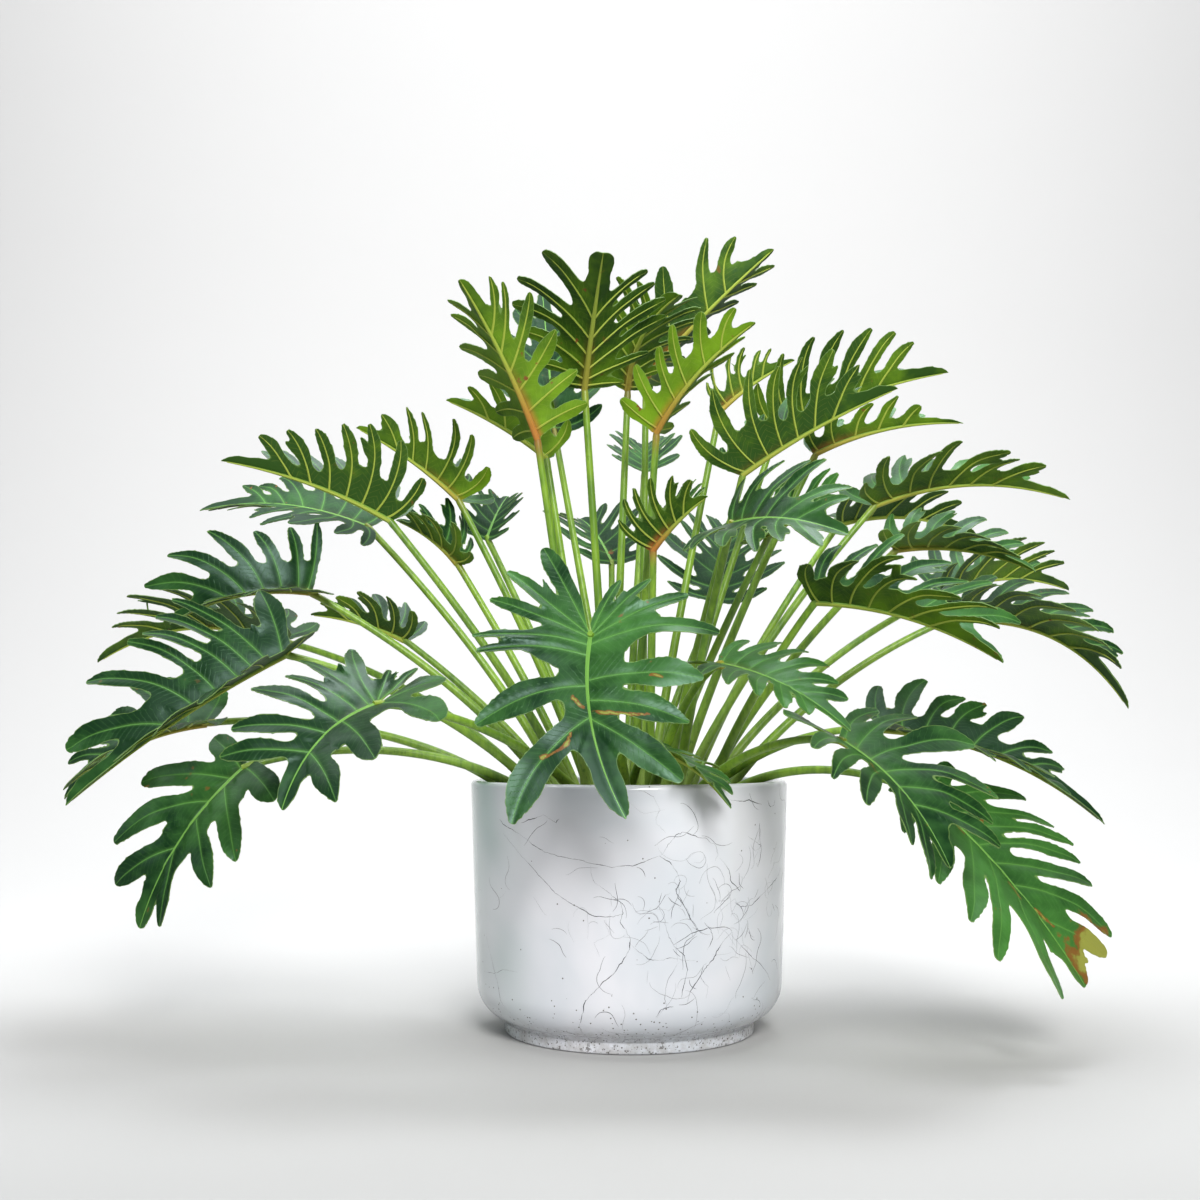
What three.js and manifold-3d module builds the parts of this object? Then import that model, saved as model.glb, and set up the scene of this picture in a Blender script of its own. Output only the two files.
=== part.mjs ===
// Xanadu philodendron in a glazed round pot.
// Millimetres, +Z up. The origin is the middle of the pot's flat underside, where it stands.
import * as THREE from "three";
import { mergeVertices } from "three/addons/utils/BufferGeometryUtils.js";
import Module from "manifold-3d";

const wasm = await Module();
wasm.setup();

// Pot
const rimRadius = 150;
const potHeight = 232;
const footRadius = 117;
const footHeight = 10;
const wallThickness = 9;
const cornerRadius = 34;
const wallTaper = 7; // how much narrower the straight wall is at its lower end
const potSides = 30;

// Soil
const soilTop = 204;
const soilDome = 5; // how much higher the soil stands in the middle
const gap = 0.3; // between pieces that touch

// Crown, where the leaves come up in a spiral
const crownStep = 12;
const crownStart = 2.5;
const goldenAngle = THREE.MathUtils.degToRad(137.508);
const stemRadius = 10;
const stemTop = 226;

// Leaf stalks
const stalkFootRadius = 5.2;
const stalkTopRadius = 3.2;
const stalkSides = 4;
const stalkSteps = 5;
const stalkDepth = 14; // how deep a stalk stands in the soil
const stalkOverrun = 2.5; // how far a stalk runs up through its blade

// Leaf blades
const bladeThickness = 1.0;
const frontAngle = 50; // of the foremost side lobe, from the midrib's direction
const firstAttach = 0.02; // where the side lobes leave the midrib, as parts of its length
const lastAttach = 0.6;
const tipAttach = 0.78;
const longestPart = 0.35; // where along the row of side lobes the longest one is
const hindLength = 0.75; // of the hindmost lobe, as part of the longest
const hindBend = 24; // how far the hindmost lobe bends forward along its length
const frontBend = 8; // and the foremost one
const lobeFill = 0.4; // half a lobe's width in a flat leaf, as part of the room between lobes
const lobeFillLost = 0.0022; // less for each degree that the leaf is folded
const lobeWidest = 13;
const lobeWide = 0.62; // where along a lobe it is widest
const lobeBlunt = 0.42; // the width of a lobe's end, as part of its widest
const notchAt = 0.33; // how far out the notch between two lobes is, as part of their length
const notchUneven = 0.1;
const tipNotch = 0.45; // of the notch beside the tip lobe
const notchLimit = 0.5; // the notches of leaves cut by hand reach no further out in these solids
const tipShoulder = 0.9; // where the tip lobe is still wide
const tipWidth = 0.1; // half its width there, as part of the blade's half width

// Every leaf: its place on the crown's spiral, the joint of stalk and blade, the blade's tip, the way
// that its upper face looks, the midrib's rise above a straight line, the angle by which each half is
// folded up, how much further it turns to the lobe tips, the blade's half width, the lobes on each
// side, the angle from the midrib at which the hindmost lobe stands, the foremost lobe's length as part
// of the longest one's, and how much the stalk is bowed, as part of its length.
// A few leaves are cut by hand: cut lists the lobes of the right half and of the left half, seen from
// above with the tip ahead, each as the place where it leaves the midrib (part of the midrib), angle,
// length, bend and the notch after it. The midrib of such a leaf may sway to the right, and its tip
// lobe has its own start and half width.
const leaves = [
  { name: "leaf_top_1", place: 7, joint: [-42, -60, 598], tip: [-25, -180, 685],
    faces: [0, 0.7, 0.7], rise: 8, fold: 30, turn: 10, half: 85,
    tipFrom: 0.75, tipHalf: 13, bow: 0.02,
    cut: [
      [
        [0.02, 104, 40, 0, 0.4], [0.06, 80, 58, -14, 0.4], [0.13, 60, 80, -26, 0.38],
        [0.23, 52, 92, -28, 0.36], [0.35, 50, 90, -26, 0.36], [0.5, 34, 70, -22, 0.5],
      ],
      [
        [0.02, 95, 45, 0, 0.4], [0.06, 72, 72, -8, 0.4], [0.13, 55, 92, -14, 0.38],
        [0.23, 46, 90, -18, 0.36], [0.35, 36, 76, -20, 0.36], [0.5, 32, 62, -24, 0.5],
      ],
    ] },
  { name: "leaf_top_2", place: 20, joint: [-85, -90, 545], tip: [-150, -160, 670],
    faces: [0.3, 0.7, 0.6], rise: 8, fold: 35, turn: 5, half: 75,
    bow: 0.02,
    cut: [
      [
        [0.04, 84, 52, -10, 0.4], [0.15, 76, 64, -10, 0.36], [0.28, 68, 78, -10, 0.33],
        [0.4, 58, 84, -14, 0.33], [0.52, 46, 76, -14, 0.36], [0.64, 40, 60, -16, 0.5],
      ],
      [
        [0.04, 76, 54, -8, 0.36], [0.15, 68, 60, -6, 0.33], [0.28, 60, 66, 2, 0.3],
        [0.4, 47, 72, 5, 0.3], [0.52, 38, 66, 6, 0.36], [0.64, 42, 52, 14, 0.5],
      ],
    ] },
  { name: "leaf_top_3", place: 1, joint: [0, 15, 615], tip: [45, -80, 680],
    faces: [0, 0.7, 0.7], rise: 8, fold: 35, turn: 5, half: 70,
    tipFrom: 0.75, tipHalf: 10, sway: 10, bow: 0.01,
    cut: [
      [
        [0.02, 98, 44, 0, 0.4], [0.1, 72, 56, -12, 0.38], [0.23, 62, 68, -16, 0.36],
        [0.36, 52, 72, -18, 0.36], [0.5, 44, 62, -18, 0.36], [0.62, 36, 46, -18, 0.5],
      ],
      [
        [0.02, 92, 34, 0, 0.4], [0.06, 66, 50, -10, 0.4], [0.13, 54, 62, -18, 0.38],
        [0.24, 52, 74, -22, 0.36], [0.36, 46, 76, -24, 0.36], [0.48, 40, 64, -24, 0.36],
        [0.62, 30, 46, -18, 0.5],
      ],
    ] },
  { name: "leaf_top_4", place: 11, joint: [19, 50, 635], tip: [146, 20, 758],
    faces: [-0.4, 0.7, 0.7], rise: -5, fold: 35, turn: 0, half: 80,
    tipFrom: 0.8, tipHalf: 7, sway: 8, bow: 0.02,
    cut: [
      [
        [0.02, 100, 60, 10, 0.4], [0.1, 76, 72, 8, 0.36], [0.23, 60, 77, 6, 0.38],
        [0.5, 58, 74, 12, 0.42], [0.64, 60, 59, 24, 0.54],
      ],
      [
        [0.02, 96, 50, 10, 0.4], [0.12, 80, 62, 8, 0.36], [0.3, 72, 66, 6, 0.36],
        [0.48, 60, 70, 4, 0.36], [0.61, 56, 64, 6, 0.4], [0.72, 46, 64, 4, 0.5],
      ],
    ] },
  { name: "leaf_top_5", place: 2, joint: [25, -70, 555], tip: [110, -130, 640],
    faces: [-0.3, 0.6, 0.7], rise: 5, fold: 35, turn: 5, half: 55,
    tipFrom: 0.8, tipHalf: 6, sway: 6, bow: 0.02,
    cut: [
      [
        [0.02, 96, 44, 8, 0.4], [0.1, 74, 52, 8, 0.33], [0.25, 68, 52, 10, 0.33],
        [0.38, 64, 56, 8, 0.35], [0.57, 58, 48, 8, 0.4], [0.72, 46, 40, 14, 0.5],
      ],
      [
        [0.02, 95, 40, 10, 0.4], [0.12, 78, 46, 8, 0.36], [0.28, 66, 52, 6, 0.36],
        [0.44, 56, 52, 4, 0.36], [0.6, 50, 42, 4, 0.5],
      ],
    ] },
  { name: "leaf_top_6", place: 6, joint: [-75, 98, 590], tip: [-90, 142, 752],
    faces: [0, -0.9, 0.3], rise: 5, fold: 20, turn: 0, half: 70,
    lobes: 5, ears: 100, front: 0.65, bow: 0.02 },
  { name: "leaf_top_7", place: 4, joint: [-80, 5, 545], tip: [-175, -20, 595],
    faces: [0, 0.3, 0.95], rise: 5, fold: 50, turn: 0, half: 62,
    lobes: 5, ears: 110, front: 0.65, bow: 0.03 },
  { name: "leaf_top_8", place: 19, joint: [20, 140, 555], tip: [20, 220, 600],
    faces: [0, -0.4, 0.9], rise: 5, fold: 30, turn: 0, half: 52,
    lobes: 5, ears: 110, front: 0.65, bow: 0.03 },
  { name: "leaf_right_1", place: 3, joint: [95, 70, 605], tip: [175, 90, 663],
    faces: [-0.3, 0.5, 0.8], rise: 5, fold: 45, turn: 0, half: 48,
    lobes: 6, ears: 105, front: 0.65, bow: 0.02 },
  { name: "leaf_right_2", place: 5, joint: [105, -70, 515], tip: [240, -110, 585],
    faces: [-0.4, 0.3, 0.85], rise: 5, fold: 55, turn: 0, half: 85,
    lobes: 7, ears: 125, front: 0.65, bow: 0.03 },
  { name: "leaf_right_3", place: 24, joint: [155, 90, 585], tip: [340, 110, 655],
    faces: [-0.3, 0.2, 0.9], rise: 10, fold: 50, turn: 0, half: 90,
    lobes: 7, ears: 120, front: 0.65, bow: 0.03 },
  { name: "leaf_right_4", place: 8, joint: [185, 10, 550], tip: [325, -10, 575],
    faces: [0, 0.1, 1], rise: 10, fold: 55, turn: 0, half: 40,
    lobes: 5, ears: 110, front: 0.65, bow: 0.05 },
  { name: "leaf_right_5", place: 16, joint: [250, 50, 505], tip: [445, 50, 510],
    faces: [0, -0.1, 1], rise: 18, fold: 35, turn: -10, half: 80,
    lobes: 7, ears: 130, front: 0.65, bow: 0.06 },
  { name: "leaf_right_6", place: 37, joint: [230, 150, 500], tip: [395, 220, 495],
    faces: [0, 0.2, 1], rise: 15, fold: 30, turn: -10, half: 70,
    lobes: 6, ears: 120, front: 0.65, bow: 0.06 },
  { name: "leaf_right_7", place: 21, joint: [255, -30, 450], tip: [375, -60, 425],
    faces: [0.2, -0.4, 0.9], rise: 10, fold: 35, turn: -5, half: 65,
    lobes: 6, ears: 120, front: 0.65, bow: 0.08 },
  { name: "leaf_right_8", place: 18, joint: [85, -165, 455], tip: [170, -245, 435],
    faces: [0, -0.8, 0.6], rise: 10, fold: 20, turn: -10, half: 75,
    lobes: 6, ears: 125, front: 0.65, bow: 0.04 },
  { name: "leaf_right_9", place: 39, joint: [160, -140, 390], tip: [310, -180, 335],
    faces: [0.1, -0.3, 0.95], rise: 12, fold: 48, turn: -10, half: 88,
    lobes: 7, ears: 110, front: 0.85, bow: 0.08 },
  { name: "leaf_right_10", place: 34, joint: [310, 10, 385], tip: [475, -10, 300],
    faces: [0.3, -0.3, 0.9], rise: 30, fold: 40, turn: -20, half: 85,
    lobes: 7, ears: 115, front: 0.65, bow: 0.1 },
  { name: "leaf_right_11", place: 29, joint: [330, 110, 420], tip: [480, 170, 430],
    faces: [0, -0.1, 1], rise: 15, fold: 45, turn: -10, half: 75,
    lobes: 6, ears: 115, front: 0.65, bow: 0.1 },
  { name: "leaf_right_12", place: 26, joint: [260, -110, 220], tip: [380, -150, 65],
    faces: [0.4, -0.6, 0.7], rise: 10, fold: 15, turn: -10, half: 100,
    tipFrom: 0.76, tipHalf: 13, bow: 0.2,
    cut: [
      [
        [0, 124, 50, 8, 0.4], [0.03, 102, 96, 18, 0.5], [0.11, 76, 108, 8, 0.37],
        [0.24, 64, 126, -2, 0.37], [0.35, 56, 122, -2, 0.42], [0.51, 54, 106, 16, 0.6],
      ],
      [
        [0, 106, 52, 8, 0.4], [0.03, 74, 105, 12, 0.4], [0.11, 64, 122, 8, 0.5],
        [0.2, 66, 123, 12, 0.24], [0.29, 64, 118, 10, 0.22], [0.39, 55, 106, 4, 0.26],
        [0.51, 52, 112, 12, 0.44], [0.68, 42, 70, 6, 0.86],
      ],
    ] },
  { name: "leaf_right_13", place: 31, joint: [170, -210, 270], tip: [240, -270, 175],
    faces: [0.5, -0.6, 0.6], rise: 12, fold: 20, turn: -10, half: 95,
    lobes: 6, ears: 130, front: 0.85, bow: 0.15 },
  { name: "leaf_right_14", place: 23, joint: [75, -160, 335], tip: [172, -235, 278],
    faces: [0.2, -0.5, 0.85], rise: 10, fold: 15, turn: -10, half: 60,
    lobes: 6, ears: 120, front: 0.65, bow: 0.2 },
  { name: "leaf_right_15", place: 13, joint: [230, -60, 280], tip: [425, -80, 195],
    faces: [0.2, -0.4, 0.9], rise: 20, fold: 25, turn: -10, half: 80,
    lobes: 7, ears: 120, front: 0.65, bow: 0.15 },
  { name: "leaf_right_16", place: 0, joint: [130, -60, 460], tip: [195, -110, 485],
    faces: [0, -0.7, 0.7], rise: 5, fold: 30, turn: 0, half: 60,
    lobes: 5, ears: 110, front: 0.65, bow: 0.04 },
  { name: "leaf_middle_1", place: 10, joint: [20, -110, 440], tip: [65, -150, 480],
    faces: [-0.5, 0.4, 0.75], rise: 3, fold: 50, turn: 0, half: 55,
    lobes: 6, ears: 115, front: 0.65, bow: 0.03 },
  { name: "leaf_back_1", place: 40, joint: [-15, 165, 460], tip: [-50, 255, 520],
    faces: [0, -0.5, 0.85], rise: 8, fold: 30, turn: 0, half: 70,
    lobes: 5, ears: 120, front: 0.65, bow: 0.05 },
  { name: "leaf_back_2", place: 32, joint: [95, 125, 415], tip: [125, 230, 515],
    faces: [0, -0.5, 0.85], rise: 10, fold: 30, turn: -5, half: 80,
    lobes: 6, ears: 120, front: 0.65, bow: 0.05 },
  { name: "leaf_front_1", place: 36, joint: [-35, -230, 355], tip: [-8, -290, 212],
    faces: [0, -0.85, 0.5], rise: 4, fold: 8, turn: -8, half: 100,
    sway: 13, tipFrom: 0.5, tipHalf: 11.5, bow: 0.1,
    cut: [
      [
        [0, 165, 93, 0, 0.75], [0.01, 141, 92, 0, 0.48], [0.02, 124, 92, 0, 0.42],
        [0.06, 112, 99, 10, 0.8], [0.12, 112, 95, 12, 0.26], [0.29, 95, 90, 17, 0.2],
        [0.46, 62, 115, 15, 0.33],
      ],
      [
        [0, 150, 60, 5, 0.74], [0.01, 132, 73, 5, 0.64], [0.02, 115, 90, 8, 0.6],
        [0.06, 106, 108, 20, 0.3], [0.26, 92, 94, 12, 0.3], [0.37, 79, 82, 12, 0.28],
        [0.47, 51, 79, 10, 0.45],
      ],
    ] },
  { name: "leaf_front_2", place: 15, joint: [15, -132, 266], tip: [80, -190, 215],
    faces: [0.4, 0, 0.9], rise: 8, fold: 10, turn: -5, half: 45,
    lobes: 5, ears: 120, front: 0.65, bow: 0.14 },
  { name: "leaf_left_1", place: 12, joint: [-225, -50, 475], tip: [-375, -80, 525],
    faces: [0.3, 0.3, 0.9], rise: 8, fold: 55, turn: 0, half: 72,
    lobes: 7, ears: 128, front: 0.65, bow: 0.05 },
  { name: "leaf_left_2", place: 14, joint: [-170, 40, 510], tip: [-275, 60, 585],
    faces: [0.5, 0.3, 0.8], rise: 5, fold: 50, turn: 0, half: 66,
    lobes: 6, ears: 125, front: 0.65, bow: 0.04 },
  { name: "leaf_left_3", place: 9, joint: [-170, 38, 445], tip: [-228, 28, 485],
    faces: [0.4, -0.3, 0.85], rise: 5, fold: 40, turn: 0, half: 55,
    lobes: 5, ears: 110, front: 0.65, bow: 0.04 },
  { name: "leaf_left_4", place: 27, joint: [-146, 118, 480], tip: [-128, 168, 532],
    faces: [0, -0.5, 0.8], rise: 5, fold: 35, turn: 0, half: 40,
    lobes: 5, ears: 110, front: 0.65, bow: 0.04 },
  { name: "leaf_left_5", place: 35, joint: [-265, 72, 486], tip: [-440, 90, 505],
    faces: [0.1, -0.5, 0.85], rise: 15, fold: 15, turn: -10, half: 80,
    lobes: 7, ears: 125, front: 0.65, bow: 0.06 },
  { name: "leaf_left_6", place: 17, joint: [-305, -20, 410], tip: [-430, -40, 378],
    faces: [0, -0.7, 0.7], rise: 15, fold: 42, turn: -10, half: 80,
    tipFrom: 0.72, tipHalf: 8, bow: 0.08,
    cut: [
      [
        [0.01, 104, 75, 8, 0.4], [0.07, 92, 62, 8, 0.4], [0.18, 84, 66, 10, 0.36],
        [0.3, 74, 78, 12, 0.36], [0.43, 62, 84, 12, 0.36], [0.56, 48, 78, 12, 0.42],
      ],
      [
        [0.01, 118, 40, 8, 0.4], [0.12, 84, 46, 8, 0.36], [0.28, 72, 50, 8, 0.36],
        [0.43, 60, 50, 8, 0.36], [0.56, 48, 46, 8, 0.45],
      ],
    ] },
  { name: "leaf_left_7", place: 33, joint: [-305, -120, 345], tip: [-475, -170, 216],
    faces: [-0.2, -0.6, 0.8], rise: 8, fold: 38, turn: -12, half: 110,
    tipFrom: 0.68, tipHalf: 11, bow: 0.1,
    cut: [
      [
        [0.01, 112, 70, 10, 0.4], [0.07, 81, 118, 10, 0.39], [0.13, 80, 116, 12, 0.39],
        [0.2, 82, 105, 18, 0.33], [0.3, 86, 96, 18, 0.33], [0.4, 77, 99, 24, 0.38],
        [0.52, 45, 86, 16, 0.41],
      ],
      [
        [0, 120, 50, 10, 0.4], [0.1, 84, 62, 10, 0.36], [0.24, 72, 70, 10, 0.36],
        [0.38, 62, 72, 10, 0.36], [0.52, 50, 66, 8, 0.42],
      ],
    ] },
  { name: "leaf_left_8", place: 28, joint: [-210, -210, 300], tip: [-270, -280, 218],
    faces: [-0.1, -0.8, 0.6], rise: 12, fold: 15, turn: -10, half: 78,
    sway: 9, tipFrom: 0.62, tipHalf: 9, bow: 0.12,
    cut: [
      [
        [0, 172, 74, 0, 0.8], [0, 155, 56, 0, 0.42], [0, 112, 82, -16, 0.7],
        [0.05, 104, 84, 8, 0.6], [0.14, 96, 74, 8, 0.28], [0.3, 92, 82, 8, 0.2],
        [0.42, 72, 76, 8, 0.22], [0.6, 66, 74, 4, 0.3],
      ],
      [
        [0, 166, 74, 0, 0.4], [0, 122, 66, 36, 0.36], [0.28, 70, 64, 6, 0.42],
        [0.6, 68, 58, 10, 0.45],
      ],
    ] },
  { name: "leaf_left_9", place: 38, joint: [-405, -5, 285], tip: [-530, -20, 215],
    faces: [-0.2, -0.4, 0.9], rise: 15, fold: 25, turn: -10, half: 85,
    lobes: 6, ears: 130, front: 0.65, bow: 0.12 },
  { name: "leaf_left_10", place: 25, joint: [-345, -92, 246], tip: [-427, -115, 108],
    faces: [-0.25, -0.8, 0.5], rise: 15, fold: 12, turn: -25, half: 95,
    sway: 3, tipFrom: 0.72, tipHalf: 10, bow: 0.15,
    cut: [
      [
        [0.02, 108, 46, 6, 0.34], [0.09, 68, 90, 6, 0.24], [0.25, 58, 93, 18, 0.3],
        [0.55, 48, 68, 10, 0.5],
      ],
      [
        [0, 86, 56, 8, 0.5], [0.14, 58, 81, 4, 0.33], [0.36, 58, 70, 4, 0.42],
        [0.56, 30, 64, 6, 0.5],
      ],
    ] },
  { name: "leaf_left_11", place: 22, joint: [-225, 60, 370], tip: [-320, 70, 395],
    faces: [0.2, 0, 1], rise: 5, fold: 40, turn: 0, half: 55,
    lobes: 5, ears: 120, front: 0.65, bow: 0.06 },
  { name: "leaf_left_12", place: 30, joint: [-355, 90, 370], tip: [-555, 130, 350],
    faces: [-0.1, 0, 1], rise: 25, fold: 30, turn: -10, half: 90,
    lobes: 7, ears: 125, front: 0.65, bow: 0.1 },
];

const glaze = new THREE.MeshStandardMaterial({ name: "glaze", color: 0xdfe2e6, roughness: 0.2 });
const soilFinish = new THREE.MeshStandardMaterial({ name: "soil", color: 0x2e241c, roughness: 0.95 });
const bark = new THREE.MeshStandardMaterial({ name: "bark", color: 0x5f5a32, roughness: 0.8 });
const leafGreen = new THREE.MeshStandardMaterial({ name: "leaf", color: 0x2f6b3c, roughness: 0.45 });

const rad = THREE.MathUtils.degToRad;
const vec = (list) => new THREE.Vector3(list[0], list[1], list[2]);

// A closed body from points and triangles; triangles that have shrunk to a line are left out.
function solidFrom(points, triangles) {
  const whole = triangles.filter(([a, b, c]) => a !== b && b !== c && c !== a);
  const vertProperties = new Float32Array(points.flat());
  const triVerts = new Uint32Array(whole.flat());
  return new wasm.Manifold(new wasm.Mesh({ numProp: 3, vertProperties, triVerts }));
}

function solidFromGeometry(geometry) {
  geometry.deleteAttribute("normal");
  geometry.deleteAttribute("uv");
  const merged = mergeVertices(geometry, 0.001);
  const at = merged.attributes.position;
  const points = [];
  for (let i = 0; i < at.count; i += 1) points.push([at.getX(i), at.getY(i), at.getZ(i)]);
  const triangles = [];
  for (let i = 0; i < merged.index.count; i += 3) {
    triangles.push([merged.index.getX(i), merged.index.getX(i + 1), merged.index.getX(i + 2)]);
  }
  return solidFrom(points, triangles);
}

function meshFromSolid(name, solid, material) {
  const { numProp, vertProperties, triVerts } = solid.getMesh();
  const flat = new Float32Array((vertProperties.length / numProp) * 3);
  for (let i = 0; i < flat.length / 3; i += 1) {
    for (let k = 0; k < 3; k += 1) flat[3 * i + k] = vertProperties[numProp * i + k];
  }
  const geometry = new THREE.BufferGeometry();
  geometry.setAttribute("position", new THREE.BufferAttribute(flat, 3));
  geometry.setIndex(Array.from(triVerts));
  geometry.computeVertexNormals();
  const mesh = new THREE.Mesh(geometry, material);
  mesh.name = name;
  return mesh;
}

// A round body from a profile of (radius, height) points that starts and ends on the axis.
function turned(profile, sides) {
  const lathe = new THREE.LatheGeometry(profile.map(([r, z]) => new THREE.Vector2(r, z)), sides);
  lathe.rotateX(Math.PI / 2);
  return solidFromGeometry(lathe);
}

function arcPoints(centreRadius, centreHeight, radius, from, to, steps) {
  const points = [];
  for (let i = 0; i <= steps; i += 1) {
    const angle = rad(from + ((to - from) * i) / steps);
    points.push([centreRadius + radius * Math.cos(angle), centreHeight + radius * Math.sin(angle)]);
  }
  return points;
}

const cornerCentre = rimRadius - wallTaper - cornerRadius;
const cornerHeight = footHeight + 2 + cornerRadius;
const innerRadius = rimRadius - wallThickness;
const innerFloor = footHeight + wallThickness;

function makePot() {
  const lip = wallThickness / 2;
  const outside = [
    [0, 0], [footRadius - 1.5, 0], [footRadius, 1.5], [footRadius, footHeight],
    ...arcPoints(cornerCentre, cornerHeight, cornerRadius, -68, 0, 3),
  ];
  const rim = arcPoints(rimRadius - lip, potHeight - lip, lip, 0, 180, 3);
  const inside = [
    ...arcPoints(cornerCentre, cornerHeight, cornerRadius - wallThickness, 0, -70, 2),
    [0, innerFloor],
  ];
  return turned([...outside, ...rim, ...inside], potSides);
}

// The soil fills the pot's inside up to its own level.
function makeSoil(stalkFeet) {
  const wallAt = (height) => {
    const part = (height - cornerHeight) / (potHeight - wallThickness / 2 - cornerHeight);
    return innerRadius - wallTaper * (1 - part) - 1;
  };
  const fill = turned([
    [0, innerFloor + gap],
    [cornerCentre, innerFloor + 4],
    [wallAt(cornerHeight) - 2, cornerHeight],
    [wallAt(soilTop), soilTop],
    [rimRadius / 2, soilTop + soilDome],
    [0, soilTop + soilDome],
  ], potSides);
  let soil = fill;
  for (const foot of stalkFeet) soil = soil.subtract(foot);
  return soil;
}

// Crown: the leaves' places are a spiral round the stem.
function crownPlace(place) {
  const radius = crownStep * Math.sqrt(place + crownStart);
  const angle = goldenAngle * place;
  return new THREE.Vector3(radius * Math.cos(angle), radius * Math.sin(angle), soilTop - stalkDepth);
}

function stemProfile(grow) {
  const bottom = soilTop - 2 * stalkDepth - grow;
  return [
    [0, bottom], [stemRadius * 0.9 + grow, bottom], [stemRadius + grow, soilTop],
    [stemRadius * 0.8 + grow, stemTop - 8], [stemRadius * 0.35 + grow, stemTop], [0, stemTop + 2],
  ];
}

// A many-sided tube along a curve, with a radius that follows a rule. It stops part of the way along
// the curve if until is under 1, and its foot is lowered by the distance sunk.
function tubeAlong(curve, steps, sides, radiusAt, until = 1, sunk = 0) {
  const points = [];
  const triangles = [];
  const side = new THREE.Vector3();
  const up = new THREE.Vector3();
  const reference = new THREE.Vector3(0.31, -0.95, 0.05).normalize();
  for (let i = 0; i <= steps; i += 1) {
    const t = (until * i) / steps;
    const along = curve.getTangent(t);
    const centre = curve.getPoint(t).addScaledVector(along, i > 0 ? 0 : -sunk);
    side.crossVectors(along, reference).normalize();
    up.crossVectors(side, along);
    for (let k = 0; k < sides; k += 1) {
      const angle = (2 * Math.PI * k) / sides;
      const at = centre.clone();
      at.addScaledVector(side, radiusAt(t) * Math.cos(angle));
      at.addScaledVector(up, radiusAt(t) * Math.sin(angle));
      points.push(at.toArray());
    }
  }
  const last = steps * sides;
  for (let k = 0; k < sides; k += 1) {
    const next = (k + 1) % sides;
    for (let i = 0; i < steps; i += 1) {
      const low = i * sides;
      const high = low + sides;
      triangles.push([low + k, high + next, high + k], [low + k, low + next, high + next]);
    }
    if (k > 0 && k < sides - 1) {
      triangles.push([0, k + 1, k], [last, last + k, last + k + 1]);
    }
  }
  const tube = solidFrom(points, triangles);
  return tube.volume() > 0 ? tube : solidFrom(points, triangles.map(([a, b, c]) => [a, c, b]));
}

function stalkCurve(leaf) {
  const foot = crownPlace(leaf.place);
  const joint = vec(leaf.joint);
  const length = foot.distanceTo(joint);
  const outward = joint.clone().sub(foot);
  const low = foot.clone().addScaledVector(outward, 0.25);
  low.z += length * (0.06 + leaf.bow);
  const high = foot.clone().addScaledVector(outward, 0.7);
  high.z += length * leaf.bow;
  const end = joint.clone().addScaledVector(joint.clone().sub(high).normalize(), stalkOverrun);
  return new THREE.CubicBezierCurve3(foot, low, high, end);
}

const stalkRadius = (t) => stalkTopRadius + (stalkFootRadius - stalkTopRadius) * (1 - t) ** 1.6;

function makeStalk(leaf) {
  return tubeAlong(stalkCurve(leaf), stalkSteps, stalkSides, stalkRadius);
}

// The hole that a stalk stands in: its own first stretch, a little wider and deeper.
function stalkHole(leaf) {
  const curve = stalkCurve(leaf);
  const wider = (t) => stalkRadius(t) + 2 * gap;
  return tubeAlong(curve, 1, stalkSides, wider, 1 / stalkSteps, gap);
}

// Small differences from lobe to lobe and leaf to leaf, between -1 and 1.
const unlike = (a, b) => Math.sin(2.1 * a + 7.3 * b + 1.7 * a * b);

// Side lobes in the flat: where each leaves the midrib, its direction and its length.
function lobePlan(leaf, number, side) {
  if (leaf.cut) {
    return leaf.cut[side > 0 ? 0 : 1].map(([attach, angle, length, bend, notch], i) => (
      { attach, angle, length, bend, notch, lift: 4 * unlike(i + 3 * side + 5, number) }
    ));
  }
  const count = leaf.lobes;
  const plan = [];
  for (let i = 0; i < count; i += 1) {
    const part = i / (count - 1);
    const shorter = part < longestPart ? 1 - hindLength : 1 - leaf.front;
    const away = (part - longestPart) / (part < longestPart ? longestPart : 1 - longestPart);
    const length = leaf.half * (1 - shorter * away ** 2);
    plan.push({
      attach: firstAttach + (lastAttach - firstAttach) * part ** 1.2,
      angle: leaf.ears + (frontAngle - leaf.ears) * part ** 0.8 + 5 * unlike(i + side, number),
      length: length * (1 + 0.07 * unlike(i + 2 * side + 3, number)),
      bend: hindBend + (frontBend - hindBend) * part,
      notch: i < count - 1 ? notchAt + notchUneven * unlike(i + 4 * side, number) : tipNotch,
      lift: 7 * unlike(i + 3 * side + 5, number),
    });
  }
  return plan;
}

// A point of a lobe's middle line in the flat: along the midrib, and out from it.
function lobeMiddle(lobe, bladeLength, t) {
  const angle = rad(lobe.angle - lobe.bend * t);
  return [
    lobe.attach * bladeLength + lobe.length * t * Math.cos(angle),
    lobe.length * t * Math.sin(angle),
  ];
}

const between = (a, b) => [(a[0] + b[0]) / 2, (a[1] + b[1]) / 2];
const distance = (a, b) => Math.hypot(a[0] - b[0], a[1] - b[1]);

// How far a lobe's widest place is from the middle line of the lobe beside it.
function apart(middle, other) {
  const stops = [0.4, 0.5, 0.6, 0.7, 0.8, 0.9, 1];
  return Math.min(...stops.map((t) => distance(middle(lobeWide), other(t))));
}

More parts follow.
